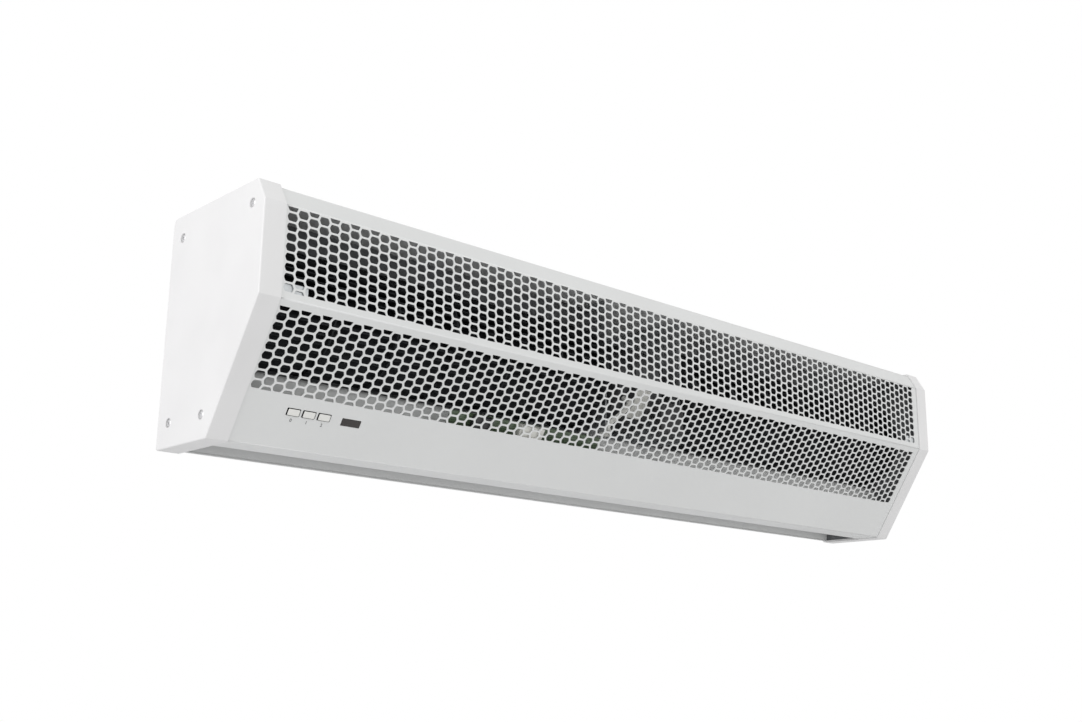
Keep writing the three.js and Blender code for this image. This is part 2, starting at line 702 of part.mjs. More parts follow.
// The grommet sits in the right cap's top, where the supply lead comes in.
const GROMMET_X = CAP_INNER + CASING_SHEET + (CAP_WIDTH - CASING_SHEET - CAP_WALL) / 2;
const GROMMET_Y = -DEPTH * 0.35;

function grommetHole() {
  const shape = new THREE.Shape(circlePoints(GROMMET_RADIUS, SMALL_FACETS, GROMMET_X, GROMMET_Y));
  return alongZ(shape, HEIGHT - CAP_WALL - CUT_MARGIN, HEIGHT + CUT_MARGIN);
}

function grommet() {
  const neck = GROMMET_RADIUS - FIT;
  const bore = GROMMET_RADIUS * 0.5;
  const flange = GROMMET_RADIUS + 1;
  const z = HEIGHT;
  const profile = [
    [bore, z - CAP_WALL - 2], [flange, z - CAP_WALL - 2], [flange, z - CAP_WALL - FIT],
    [neck, z - CAP_WALL - FIT], [neck, z - FIT], [bore, z - FIT], [bore, z - CAP_WALL - 2],
  ];
  const geometry = new THREE.LatheGeometry(profile.map(([r, h]) => at(r, h)), SMALL_FACETS);
  return solid(geometry.rotateX(Math.PI / 2).translate(GROMMET_X, GROMMET_Y, 0));
}

function sidePlate(side) {
  const plate = new THREE.Shape(outlineLoop(CAP_WALL + FIT));
  const seat = circlePoints(CUSHION_RADIUS + FIT, ROUND_FACETS, AXIS_Y, AXIS_Z);
  plate.holes.push(new THREE.Path(seat));
  for (const p of CAP_SCREW_PLACES) {
    plate.holes.push(new THREE.Path(circlePoints(CAP_SCREW_SHANK_R + FIT, SMALL_FACETS, p.x, p.y)));
  }
  return alongX(plate, side * CAP_INNER, side * (CAP_INNER + CASING_SHEET));
}

// ---------------------------------------------------------------- rotor

// One cambered blade, seen along the axis, at an angle round the wheel.
function bladeShape(angle) {
  const outer = WHEEL_RADIUS - 0.4;
  const inner = WHEEL_RADIUS * BLADE_INNER;
  const tip = at(outer, 0);
  const root = at(inner, 0).rotateAround(at(0, 0), radians(-BLADE_LEAN));
  const along = tip.clone().sub(root).normalize();
  const normal = at(-along.y, along.x);
  const middle = tip.clone().add(root).multiplyScalar(0.5).addScaledVector(normal, BLADE_CAMBER);
  const path = [root, middle, tip];
  const spun = [...path, ...offsetPath(path, BLADE_SHEET).reverse()]
    .map((p) => p.rotateAround(at(0, 0), angle).add(at(AXIS_Y, AXIS_Z)));
  return new THREE.Shape(spun);
}

function ringShape(inner, outer, count) {
  const ring = new THREE.Shape(circlePoints(outer, count, AXIS_Y, AXIS_Z));
  ring.holes.push(new THREE.Path(circlePoints(inner, count, AXIS_Y, AXIS_Z)));
  return ring;
}

// Cross-flow wheel: curved blades held by an end disc at each end and by rings between them.
function crossFlowWheel(side) {
  const inner = WHEEL_INNER_END;
  const outer = WHEEL_OUTER_END;
  const step = (2 * Math.PI) / WHEEL_BLADES;
  const blades = Array.from({ length: WHEEL_BLADES }, (_, i) => bladeShape(i * step));
  const cage = alongX(blades, side * (inner + DISC_SHEET / 2), side * (outer - DISC_SHEET / 2));
  const rings = Array.from({ length: WHEEL_RINGS }, (_, i) => {
    const x = THREE.MathUtils.lerp(inner, outer, (i + 1) / (WHEEL_RINGS + 1));
    const shape = ringShape(WHEEL_RADIUS * (BLADE_INNER - 0.04), WHEEL_RADIUS, WHEEL_BLADES);
    return alongX(shape, side * (x - RING_SHEET / 2), side * (x + RING_SHEET / 2));
  });
  // discs and hubs, each a round plate with a bore, between two distances from the middle
  const plate = (bore, radius, from, to) =>
    alongX(ringShape(bore, radius, WHEEL_BLADES), side * from, side * to);
  const shaftBore = SHAFT_RADIUS + FIT;
  const pinBore = PIN_RADIUS + FIT;
  const whole = joined(
    cage,
    ...rings,
    plate(shaftBore, WHEEL_RADIUS, inner, inner + DISC_SHEET),
    plate(pinBore, WHEEL_RADIUS, outer - DISC_SHEET, outer),
    plate(shaftBore, HUB_RADIUS, inner + DISC_SHEET / 2, inner + HUB_LENGTH),
    plate(pinBore, PIN_HUB_RADIUS, outer - PIN_HUB_LENGTH, outer - DISC_SHEET / 2));
  return whole.subtract(hubScrewHole(side * hubScrewPlace(), HUB_SCREW_RADIUS + FIT));
}

const hubScrewPlace = () => WHEEL_INNER_END + (DISC_SHEET + HUB_LENGTH) / 2;

// A radial hole from the shaft bore out through the top of the hub.
function hubScrewHole(x, radius) {
  const shape = new THREE.Shape(circlePoints(radius, SMALL_FACETS, x, AXIS_Y));
  return alongZ(shape, AXIS_Z, AXIS_Z + HUB_RADIUS + CUT_MARGIN);
}

function hubScrew(side) {
  const circle = circlePoints(HUB_SCREW_RADIUS, SMALL_FACETS, side * hubScrewPlace(), AXIS_Y);
  const shape = new THREE.Shape(circle);
  return alongZ(shape, AXIS_Z + SHAFT_RADIUS + FIT, AXIS_Z + HUB_RADIUS - FIT);
}

const onAxis = (body) => body.translate(0, AXIS_Y, AXIS_Z);
const SHAFT_END = WHEEL_INNER_END + HUB_LENGTH - FIT;
const MOTOR_BOSS_END = BULKHEAD_OFFSET + CASING_SHEET + MOTOR_RING_WIDTH / 2;

function motorShaft() {
  return onAxis(turned(plugProfile(-SHAFT_END, SHAFT_END, SHAFT_RADIUS), ROUND_FACETS));
}

function wheelPin(side) {
  const from = WHEEL_OUTER_END - PIN_HUB_LENGTH + FIT;
  const to = CAP_INNER + BEARING_WIDTH;
  const [low, high] = side > 0 ? [from, to] : [-to, -from];
  return onAxis(turned(plugProfile(low, high, PIN_RADIUS), ROUND_FACETS));
}

// ---------------------------------------------------------------- motor

function motorBody() {
  const can = STATOR_WIDTH / 2;
  const shield = can + SHIELD_WIDTH;
  const bore = SHAFT_RADIUS + FIT;
  const half = [
    [can, STATOR_RADIUS],
    [can, SHIELD_RADIUS],
    [shield - 4, SHIELD_RADIUS],
    [shield, SHIELD_RADIUS - 6],
    [shield, MOTOR_BOSS_RADIUS],
    [MOTOR_BOSS_END, MOTOR_BOSS_RADIUS],
    [MOTOR_BOSS_END, bore],
  ];
  const mirrored = half.map(([x, r]) => [-x, r]).reverse();
  return onAxis(turned([...mirrored, ...half, mirrored[0]], ROUND_FACETS));
}

function motorRing(side) {
  const from = BULKHEAD_OFFSET + CASING_SHEET / 2 - MOTOR_RING_WIDTH / 2;
  const ends = [side * from, side * (from + MOTOR_RING_WIDTH)].sort((a, b) => a - b);
  return onAxis(turned(ringProfile(...ends, MOTOR_BOSS_RADIUS + FIT, MOTOR_RING_RADIUS), ROUND_FACETS));
}

// Plate between the motor's chamber and a wheel, with a flange on the casing's back.
function motorBulkhead(side) {
  const wall = offsetPath(TONGUE_PATH.slice(1, 3), -FIT);
  const foot = BULKHEAD_FOOT;
  const along = (wall[1].x - wall[0].x) / (wall[1].y - wall[0].y);
  const footY = wall[0].x + (foot - wall[0].y) * along;
  const ceiling = CASING_TOP - CASING_SHEET - FIT;
  const under = underWheel(TONGUE_RADIUS - FIT);
  const shape = new THREE.Shape([
    at(footY, foot),
    at(LINING[1].x, foot),
    ...FOLDED_LINING.filter((p) => p.y > foot && p.x > -BULKHEAD_FRONT),
    at(-BULKHEAD_FRONT, ceiling),
    at(-BULKHEAD_FRONT, under[0].y),
    ...under,
  ]);
  shape.holes.push(new THREE.Path(circlePoints(MOTOR_RING_RADIUS + FIT, ROUND_FACETS, AXIS_Y, AXIS_Z)));
  const from = BULKHEAD_OFFSET;
  const plate = alongX(shape, side * from, side * (from + CASING_SHEET));
  const flange = alongX(
    rectangle(RECESS_FACE - CASING_SHEET, RECESS_FACE, RECESS_BOTTOM + PLATE_PLAY, RECESS_TOP - PLATE_PLAY),
    side * (from - BULKHEAD_FLANGE),
    side * (from + CASING_SHEET));
  return plate.add(flange);
}

// Angle on the right bulkhead that carries the run capacitor beside the motor.
function capacitorBracket() {
  const side = BULKHEAD_OFFSET - FIT;
  const path = [
    at(side, BRACKET_FACE + BRACKET_LEG),
    at(side, BRACKET_FACE),
    at(STATOR_WIDTH / 2 + 2, BRACKET_FACE),
  ];
  const bottom = CAPACITOR.bottom;
  return alongZ(sheet(path, -CASING_SHEET), bottom, bottom + CAPACITOR.height + BRACKET_MARGIN);
}

function runCapacitor() {
  const c = CAPACITOR;
  const back = BRACKET_FACE - FIT;
  return block(c.left, c.left + c.length, back - c.depth, back, c.bottom, c.bottom + c.height);
}

// ---------------------------------------------------------------- outer bearings

function bearing(side) {
  const from = CAP_INNER + CASING_SHEET / 2 - BEARING_WIDTH / 2;
  const ends = [side * from, side * (from + BEARING_WIDTH)].sort((a, b) => a - b);
  return onAxis(turned(ringProfile(...ends, PIN_RADIUS + FIT, BEARING_RADIUS), ROUND_FACETS));
}

function bearingCushion(side) {
  const from = CAP_INNER + CASING_SHEET / 2 - CUSHION_WIDTH / 2;
  const ends = [side * from, side * (from + CUSHION_WIDTH)].sort((a, b) => a - b);
  return onAxis(turned(ringProfile(...ends, BEARING_RADIUS + FIT, CUSHION_RADIUS), ROUND_FACETS));
}

// A flanged cup over the cushion, on the outer face of the side plate.
function bearingRetainer(side) {
  const base = CAP_INNER + CASING_SHEET + FIT;
  const top = CAP_INNER + CASING_SHEET / 2 + CUSHION_WIDTH / 2 + FIT;
  const inside = CUSHION_RADIUS + FIT;
  const outside = inside + RETAINER_WALL;
  const profile = [
    [base, inside],
    [base, outside + RETAINER_FLANGE],
    [base + RETAINER_WALL, outside + RETAINER_FLANGE],
    [base + RETAINER_WALL, outside],
    [top + RETAINER_WALL, outside],
    [top + RETAINER_WALL, PIN_HUB_RADIUS],
    [top, PIN_HUB_RADIUS],
    [top, inside],
    [base, inside],
  ].map(([x, r]) => [side * x, r]);
  return onAxis(turned(side > 0 ? profile : profile.reverse(), ROUND_FACETS));
}

// ---------------------------------------------------------------- panel stays

// An angle between a side plate and the back of the upright face, just above the knee.
function panelStay(side) {
  const face = PANEL_KNEE.x + PANEL_SHEET + FIT;
  const bottom = PANEL_KNEE.y + 2;
  const leg = 2 * STAY_HEIGHT;
  const path = [
    at(side * (BODY_HALF - STAY_WIDTH), face),
    at(side * BODY_HALF, face),
    at(side * BODY_HALF, face + leg),
  ];
  return alongZ(sheet(path, side * CASING_SHEET), bottom, bottom + STAY_HEIGHT);
}

// ---------------------------------------------------------------- controls, in the sloped face's frame

const controls = new THREE.Group();
controls.applyMatrix4(LOWER_FACE);
unit.add(controls);

const BACK_OF_PANEL = -PANEL_SHEET - FIT;
const KEY_BASE = -PANEL_SHEET - BUTTON_SHELL;
const SWITCH_FACE = KEY_BASE - BUTTON_TRAVEL - 2 * FIT;
const WELL_FLOOR = KEY_BASE - STEM_LENGTH - BUTTON_TRAVEL - FIT;

// One push button: a cap with softened edges on a square stem.
function button(x) {
  const soft = 0.5;
  const outline = centred(x, BUTTON_RISE, BUTTON_WIDTH, BUTTON_HEIGHT);
  const cap = new THREE.ExtrudeGeometry(outline, {
    depth: BUTTON_PROUD - KEY_BASE - 2 * soft,
    bevelThickness: soft,
    bevelSize: soft,
    bevelOffset: -soft,
    bevelSegments: 1,
  });
  const square = centred(x, BUTTON_RISE, STEM_SIZE, STEM_SIZE);
  const stem = alongZ(square, KEY_BASE - STEM_LENGTH, KEY_BASE + soft);
  return solid(cap.translate(0, 0, KEY_BASE + soft)).add(stem);
}

// Switch body behind the buttons: a well for each stem, and two ears up to the panel.
function switchFrame() {
  const left = BUTTON_PLACES[0] - BUTTON_PITCH / 2 - SWITCH_WALL;
  const right = BUTTON_PLACES[2] + BUTTON_PITCH / 2 + SWITCH_WALL;
  const low = BUTTON_RISE - BUTTON_HEIGHT / 2 - SWITCH_WALL;
  const high = BUTTON_RISE + BUTTON_HEIGHT / 2 + SWITCH_WALL;
  const floor = WELL_FLOOR - SWITCH_WALL;
  const body = block(left, right, low, high, floor, SWITCH_FACE);
  const ears = [
    block(left - SWITCH_WALL, left + SWITCH_WALL, low, high, floor, BACK_OF_PANEL),
    block(right - SWITCH_WALL, right + SWITCH_WALL, low, high, floor, BACK_OF_PANEL),
  ];
  const well = STEM_SIZE + 4 * FIT;
  const wells = BUTTON_PLACES.map((x) =>
    alongZ(centred(x, BUTTON_RISE, well, well), WELL_FLOOR, SWITCH_FACE + CUT_MARGIN));
  return cutBy(joined(body, ...ears), ...wells);
}

function receiverWindow() {
  const pane = alongZ(centred(WINDOW_X, WINDOW_RISE, WINDOW_WIDTH, WINDOW_HEIGHT), BACK_OF_PANEL - 1, 0.2);
  const rimWidth = WINDOW_WIDTH + 2 * WINDOW_RIM;
  const rim = alongZ(
    centred(WINDOW_X, WINDOW_RISE, rimWidth, WINDOW_HEIGHT + 2 * WINDOW_RIM),
    BACK_OF_PANEL - 1,
    BACK_OF_PANEL);
  return pane.add(rim);
}

function receiver() {
  const top = BACK_OF_PANEL - 1 - FIT;
  const can = alongZ(centred(WINDOW_X, WINDOW_RISE, 8, WINDOW_HEIGHT), top - 5, top);
  const lens = solid(new THREE.CylinderGeometry(2.6, 2.6, WINDOW_HEIGHT, 12));
  return can.add(lens.translate(WINDOW_X, WINDOW_RISE, top - 2.6));
}

const CARRIER_X = -HALF + CARRIER_LEFT;
const CARRIER_FACE = BACK_OF_PANEL;
const POST_TOP = CARRIER_FACE - CARRIER_SHEET - BOARD_STANDOFF;
const BOARD_FACE = POST_TOP - FIT;
const BOARD_INSET = 6;
const POST_RADIUS = 2.5;

// Moulded carrier on the back of the plain band, with four posts for the board.
function boardCarrier() {
  const plate = block(CARRIER_X, CARRIER_X + CARRIER_LENGTH, CARRIER_BOTTOM, CARRIER_TOP,
    CARRIER_FACE - CARRIER_SHEET, CARRIER_FACE);
  const window = block(CARRIER_X + 24, CARRIER_X + CARRIER_LENGTH - 24, CARRIER_BOTTOM + 7, CARRIER_TOP - 7,
    CARRIER_FACE - CARRIER_SHEET - CUT_MARGIN, CARRIER_FACE + CUT_MARGIN);
  const posts = [];
  for (const x of [CARRIER_X + BOARD_INSET * 2, CARRIER_X + CARRIER_LENGTH - BOARD_INSET * 2]) {
    for (const v of [BOARD_BOTTOM + BOARD_INSET / 2, CARRIER_TOP - BOARD_INSET / 2]) {
      const post = new THREE.Shape(circlePoints(POST_RADIUS, SMALL_FACETS, x, v));
      posts.push(alongZ(post, POST_TOP, CARRIER_FACE - CARRIER_SHEET / 2));
    }
  }
  return joined(plate, ...posts).subtract(window);
}

function controlBoard() {
  return block(CARRIER_X + BOARD_INSET, CARRIER_X + CARRIER_LENGTH - BOARD_INSET, BOARD_BOTTOM, BOARD_TOP,
    BOARD_FACE - BOARD_SHEET, BOARD_FACE);
}

// Parts that stand on the board, on the side that faces the panel.
function onBoard(x, v, width, height, depth) {
  const body = new THREE.ExtrudeGeometry(centred(x, v, width, height), {
    depth: depth - 0.6,
    bevelThickness: 0.6,
    bevelSize: 0.6,
    bevelOffset: -0.6,
    bevelSegments: 1,
  });
  const trimmed = solid(body.translate(0, 0, BOARD_FACE + FIT));
  return trimmed.subtract(centredBlock(x, v, 2 * width, BOARD_FACE - 2, BOARD_FACE + FIT));
}

function centredBlock(x, v, size, low, high) {
  return alongZ(centred(x, v, size, size), low, high);
}

const PART_DEPTH = -POST_TOP - PANEL_SHEET - 3 * FIT;
const UPPER_STRIP = (CARRIER_TOP + BOARD_TOP) / 2 + FIT;
const STRIP_HEIGHT = BOARD_TOP - CARRIER_TOP - 4 * FIT;

function boardRelay() {
  return onBoard(CARRIER_X + RELAY.along, UPPER_STRIP, RELAY.width, STRIP_HEIGHT, PART_DEPTH);
}

function boardTransformer() {
  return onBoard(CARRIER_X + TRANSFORMER.along, UPPER_STRIP, TRANSFORMER.width, STRIP_HEIGHT, PART_DEPTH);
}

// ---------------------------------------------------------------- terminal block and lead

// The terminal block is fixed to the front wall, at the supply end.
function terminalBlock() {
  const face = TONGUE_FACE - FIT;
  const t = TERMINAL;
  const right = BODY_HALF - 3 * CAP_WIDTH;
  const bottom = slopeHeight(face - t.depth - TONGUE_PLAY);
  const body = block(right - t.length, right, face - t.depth, face, bottom, bottom + t.height);
  const wells = [0, 1, 2, 3].map((i) => {
    const x = right - t.length + ((i + 0.5) * t.length) / 4;
    const shape = new THREE.Shape(circlePoints(2.4, SMALL_FACETS, x, bottom + t.height / 2));
    return alongY(shape, -face + t.depth / 2, -face + t.depth + CUT_MARGIN);
  });
  return cutBy(body, ...wells);
}

// The motor's lead: out of the end shield, forward over the tongue's top edge and down to the board.
function motorLead() {
  const corner = new THREE.Vector3(CARRIER_X + CARRIER_LENGTH - BOARD_INSET, BOARD_TOP, BOARD_FACE);
  const board = corner.applyMatrix4(LOWER_FACE);
  const shield = STATOR_WIDTH / 2 + SHIELD_WIDTH / 2;
  const exit = new THREE.Vector3(-shield, AXIS_Y - SHIELD_RADIUS * 0.9, AXIS_Z - SHIELD_RADIUS * 0.5);
  const out = new THREE.Vector3(0, -0.87, -0.5);
  const start = new THREE.Vector3(-shield, AXIS_Y, AXIS_Z).addScaledVector(out, SHIELD_RADIUS + 1.5);
  const clearOfWheel = AXIS_Y - (TONGUE_RADIUS + LEAD_RADIUS) * 0.8;
  const points = [
    start,
    start.clone().addScaledVector(out, 9),
    new THREE.Vector3(-shield - 14, clearOfWheel, AXIS_Z - WHEEL_RADIUS * 0.72),
    new THREE.Vector3(-BULKHEAD_OFFSET - 8, clearOfWheel, board.z + 10),
    new THREE.Vector3(board.x + 14, board.y + 2, board.z + 6),
    new THREE.Vector3(board.x + LEAD_RADIUS, board.y + 1, board.z + 4),
  ];
  const curve = new THREE.CatmullRomCurve3(points, false, 'centripetal');
  const section = new THREE.Shape(circlePoints(LEAD_RADIUS, 6));
  return solid(new THREE.ExtrudeGeometry(section, { steps: 16, extrudePath: curve, bevelEnabled: false }));
}

// ---------------------------------------------------------------- assembly

add('wall_plate', wallPlate(), ZINC);
add('rear_casing', rearCasing(), PAINT);
add('outlet_wall', outletWall(), PAINT);
add('tongue_channel', tongueChannel(), PAINT);
add('front_panel', frontPanel(), PAINT);
add('motor_body', motorBody(), MOTOR_PAINT);
add('motor_shaft', motorShaft(), STEEL);

for (const [name, side] of SIDES) {
  add(`scroll_${name}`, scroll(side), INNER_PAINT);
  add(`side_plate_${name}`, sidePlate(side), INNER_PAINT);
  add(`end_cap_${name}`, endCap(side), CAP_WHITE);
  add(`motor_bulkhead_${name}`, motorBulkhead(side), ZINC);
  add(`motor_ring_${name}`, motorRing(side), RUBBER);
  add(`wheel_${name}`, crossFlowWheel(side), WHEEL_PLASTIC);
  add(`wheel_pin_${name}`, wheelPin(side), STEEL);
  add(`hub_screw_${name}`, hubScrew(side), STEEL);
  add(`bearing_${name}`, bearing(side), STEEL);
  add(`bearing_cushion_${name}`, bearingCushion(side), RUBBER);
  add(`bearing_retainer_${name}`, bearingRetainer(side), ZINC);
  add(`panel_stay_${name}`, panelStay(side), ZINC);
  CAP_SCREW_PLACES.forEach((place, i) => {
    const length = CAP_SCREW_SEAT - CAP_INNER + CASING_SHEET;
    const piece = screw(CAP_SCREW_HEAD_R, CAP_SCREW_HEAD_HEIGHT, CAP_SCREW_SHANK_R, length);
    const mesh = add(`cap_screw_${name}_${i + 1}`, piece, STEEL);
    mesh.rotation.z = side > 0 ? 0 : Math.PI;
    mesh.position.set(side * CAP_SCREW_SEAT, place.x, place.y);
  });
}

panelScrewPlaces().forEach((x, i) => {
  const mesh = add(`panel_screw_${i + 1}`, screw(3.5, 1.6, CAP_SCREW_SHANK_R, 6), STEEL);
  mesh.rotation.y = -Math.PI / 2;
  mesh.position.set(x, -PANEL_SCREW_DEPTH, HEIGHT - TOP_STEP + FIT);
});

add('cable_grommet', grommet(), RUBBER);
add('switch_frame', switchFrame(), DARK_PLASTIC, controls);
['button_off', 'button_low', 'button_high'].forEach((name, i) => {
  add(name, button(BUTTON_PLACES[i]), KEY_PLASTIC, controls);
});
add('receiver_window', receiverWindow(), WINDOW_PLASTIC, controls);
add('receiver', receiver(), DARK_PLASTIC, controls);
add('board_carrier', boardCarrier(), PALE_PLASTIC, controls);
add('control_board', controlBoard(), BOARD_GREEN, controls);
add('board_relay', boardRelay(), DARK_PLASTIC, controls);
add('board_transformer', boardTransformer(), PALE_PLASTIC, controls);
add('capacitor_bracket', capacitorBracket(), INNER_PAINT);
add('run_capacitor', runCapacitor(), DARK_PLASTIC);
add('terminal_block', terminalBlock(), PALE_PLASTIC);
add('motor_lead', motorLead(), LEAD_SLEEVE);

const airCurtain = new THREE.Group();
airCurtain.add(unit);

export default airCurtain;
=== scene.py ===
"""Looks of a wall-hung air curtain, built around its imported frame.

Row frame: X along the unit, away from the push buttons; Y into the wall; Z up. Its origin is the
centre of the wall plate's back. Sizes below are millimetres, and heights in the drawings are
measured from the unit's underside. MM and to_row() turn them into metres of the row frame.
"""

import json
import math

import bmesh
import bpy
from mathutils import Matrix, Vector
from mathutils.geometry import delaunay_2d_cdt

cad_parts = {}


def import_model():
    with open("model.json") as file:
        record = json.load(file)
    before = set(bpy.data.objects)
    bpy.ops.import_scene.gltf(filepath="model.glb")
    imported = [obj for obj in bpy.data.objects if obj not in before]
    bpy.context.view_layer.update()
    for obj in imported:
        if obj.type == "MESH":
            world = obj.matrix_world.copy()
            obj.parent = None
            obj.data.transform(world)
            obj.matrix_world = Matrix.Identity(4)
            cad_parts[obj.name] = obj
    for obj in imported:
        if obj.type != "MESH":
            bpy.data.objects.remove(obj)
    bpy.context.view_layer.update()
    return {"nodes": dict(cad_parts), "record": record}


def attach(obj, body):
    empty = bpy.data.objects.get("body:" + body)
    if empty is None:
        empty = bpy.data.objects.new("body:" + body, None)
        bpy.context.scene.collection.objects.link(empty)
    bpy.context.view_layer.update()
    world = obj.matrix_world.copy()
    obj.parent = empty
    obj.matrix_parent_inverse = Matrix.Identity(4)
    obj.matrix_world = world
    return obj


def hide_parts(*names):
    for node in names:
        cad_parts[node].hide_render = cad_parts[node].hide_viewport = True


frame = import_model()

# ---------------------------------------------------------------- sizes, as in the part's source

MM = 0.001
LENGTH = 900
HEIGHT = 190
DEPTH = 140
BEVEL_DEPTH = 11
BEVEL_HEIGHT = 18.5
KNEE_HEIGHT = 98.6
SOLE_DEPTH = 77
BACK_ROUND = 5.5
EDGE_ROUND = 2
PANEL_SHEET = 1
FOLD_RADIUS = 2.5
SOLE_FOLD = 1.3  # the panel's sharper fold above the bottom lip
CASING_SHEET = 1.2
FIT = 0.3
PLATE_CENTRE = 95

CAP_WIDTH = 19
CAP_WALL = 2.2
CAP_EDGE = 1.2
PANEL_STEP = 1
TOP_STEP = 2.6
CAP_BOSS_R = 5
CAP_SCREW_SINK = 1.6
CAP_SCREW_HEAD_R = 3
CAP_SCREW_SHANK_R = 1.7
CAP_SCREW_HEIGHT = 1.2
PANEL_JOINT = 0.5  # a fine dark joint between the panel's ends and the caps
TOP_FLANGE = 21
LIP_EDGE = 50

FIELD_LEFT_MARGIN = 6.35  # from the caps to the outermost columns' centres
FIELD_RIGHT_MARGIN = 13.35
BAND_ABOVE_KNEE = 5
BAND_BELOW_BEVEL = 1.6
BAND_BELOW_KNEE = 6
BAND_FOOT = 43.87
HOLE_COLUMNS = 91
HOLE_ROWS = 8
HOLE_WIDTH = 9.2
HOLE_HEIGHT = 6.3
HOLE_TIP = 1.3
HOLE_ROUND = 1.7
GRILLE_SHEET = 0.7
HALF_HOLE_RISE = 0.3  # of the half holes' straight edges

AXIS_Y = -66.0
AXIS_Z = 112
WHEEL_RADIUS = 48

SIDES = (("left", -1), ("right", 1))
HALF = LENGTH / 2
CAP_INNER = HALF - CAP_WIDTH
BODY_HALF = CAP_INNER - FIT
PANEL_HALF = CAP_INNER - PANEL_JOINT

# ---------------------------------------------------------------- plane paths

PARALLEL = 1e-9


def at(y, z):
    return Vector((y, z))


def meet(p, d, q, e):
    """Where two lines, each a point and a direction, meet. Parallel lines meet at the second's point."""
    cross = d.x * e.y - d.y * e.x
    if abs(cross) < PARALLEL:
        return q.copy()
    return p + d * (((q.x - p.x) * e.y - (q.y - p.y) * e.x) / cross)


def offset_path(points, distances):
    """An open path moved to its left, by one distance for each stretch."""
    lines = []
    for start, end, gap in zip(points, points[1:], distances):
        along = (end - start).normalized()
        shift = Vector((-along.y, along.x)) * gap
        lines.append((start + shift, end + shift, along))
    corners = [meet(a[0], a[2], b[0], b[2]) for a, b in zip(lines, lines[1:])]
    return [lines[0][0], *corners, lines[-1][1]]


def offset_loop(points, distance):
    """A closed path moved to its left."""
    looped = [points[-1], *points, points[0]]
    return offset_path(looped, [distance] * (len(looped) - 1))[1:-1]


def round_corner(before, corner, after, radius, steps):
    """Points on a corner's arc, which takes up at most half of each side."""
    back, ahead = before - corner, after - corner
    reach = min(back.length, ahead.length) / 2
    back.normalize()
    ahead.normalize()
    half = math.acos(max(-1, min(1, back.dot(ahead)))) / 2
    cut = min(radius / math.tan(half), reach)
    middle = (back + ahead).normalized()
    centre = corner + middle * (cut * math.tan(half) / math.sin(half))
    start, end = corner + back * cut - centre, corner + ahead * cut - centre
    turn = math.atan2(start.x * end.y - start.y * end.x, start.dot(end))
    return [centre + Matrix.Rotation(turn * i / steps, 2) @ start for i in range(steps + 1)]


def round_loop(points, radii, steps):
    """A closed path with its corners rounded."""
    count = len(points)
    loop = []
    for i, corner in enumerate(points):
        loop += round_corner(points[i - 1], corner, points[(i + 1) % count], radii[i], steps)
    return loop


OUTLINE = [
    at(0, 0),
    at(0, HEIGHT),
    at(-(DEPTH - BEVEL_DEPTH), HEIGHT),
    at(-DEPTH, HEIGHT - BEVEL_HEIGHT),
    at(-DEPTH, KNEE_HEIGHT),
    at(-SOLE_DEPTH, 0),
]
OUTLINE_ROUNDS = [EDGE_ROUND, BACK_ROUND] + [EDGE_ROUND] * 4
OUTLINE_STEPS = 5
PANEL_OUTER = offset_path(
    [OUTLINE[2] + at(TOP_FLANGE, 0), *OUTLINE[2:], at(-LIP_EDGE, 0)],
    [TOP_STEP] + [PANEL_STEP] * 4)


def outline_loop(inset):
    """The unit's end outline, moved inwards."""
    radii = [max(radius - inset, EDGE_ROUND / 4) for radius in OUTLINE_ROUNDS]
    return round_loop(offset_loop(OUTLINE, inset), radii, OUTLINE_STEPS)


# ---------------------------------------------------------------- meshes

VERTICES_PER_METRE = 1e7  # corners that round to the same place become one vertex
WELD = 1e-6
SOFT_ANGLE = 40  # degrees between faces, from which an edge is rounded
CREASE = 35  # degrees between faces, from which an edge stays sharp
SOFT_CREASE = 50
FINE_CREASE = 30


def to_row(x, y, z):
    return Vector((x, y, z - PLATE_CENTRE)) * MM


class Mesh:
    """Collects faces, given by their corners in the row frame, and makes one object of them."""

    def __init__(self):
        self.points = []
        self.faces = []
        self.smooth = []
        self.index = {}

    def vertex(self, point):
        key = tuple(round(c * VERTICES_PER_METRE) for c in point)
        if key not in self.index:
            self.index[key] = len(self.points)
            self.points.append(tuple(point))
        return self.index[key]

    def face(self, corners, smooth=False):
        ids = [self.vertex(p) for p in corners]
        ids = [i for k, i in enumerate(ids) if i != ids[k - 1]]
        if len(ids) > 2 and len(set(ids)) == len(ids):
            self.faces.append(ids)
            self.smooth.append(smooth)

    def strip(self, one, two, closed=False, smooth=True):
        """Four-sided faces between two rows of points."""
        count = len(one)
        for i in range(count if closed else count - 1):
            j = (i + 1) % count
            self.face([one[i], one[j], two[j], two[i]], smooth)

    def fill(self, outer, holes, put):
        """Flat faces between a closed outline and its holes. `put` places a drawn point."""
        points, faces = planar(outer, holes)
        for ids in faces:
            self.face([put(points[k]) for k in ids])

    def turned(self, profile, count, centre=None):
        """A round surface about an axis along X, from pairs of place and radius in millimetres."""
        rings = [circle(x, radius, centre or at(AXIS_Y, AXIS_Z), count) for x, radius in profile]
        for one, two in zip(rings, rings[1:]):
            self.strip(one, two, closed=True)

    def data(self, name):
        made = bpy.data.meshes.new(name)
        made.from_pydata(self.points, [], self.faces)
        made.polygons.foreach_set("use_smooth", self.smooth)
        made.update()
        return made

    def make(self, name, slot, body="housing", replaces=()):
        return place(bpy.data.objects.new(name, self.data(name)), slot, body, replaces)


def circle(x, radius, centre, count):
    """Points round an axis along X, in the row frame."""
    turns = [2 * math.pi * i / count for i in range(count)]
    return [to_row(x, centre.x + radius * math.cos(t), centre.y + radius * math.sin(t)) for t in turns]


def disc(centre, radius, count):
    """A round outline in a drawing."""
    turns = [2 * math.pi * i / count for i in range(count)]
    return [centre + at(math.cos(t), math.sin(t)) * radius for t in turns]


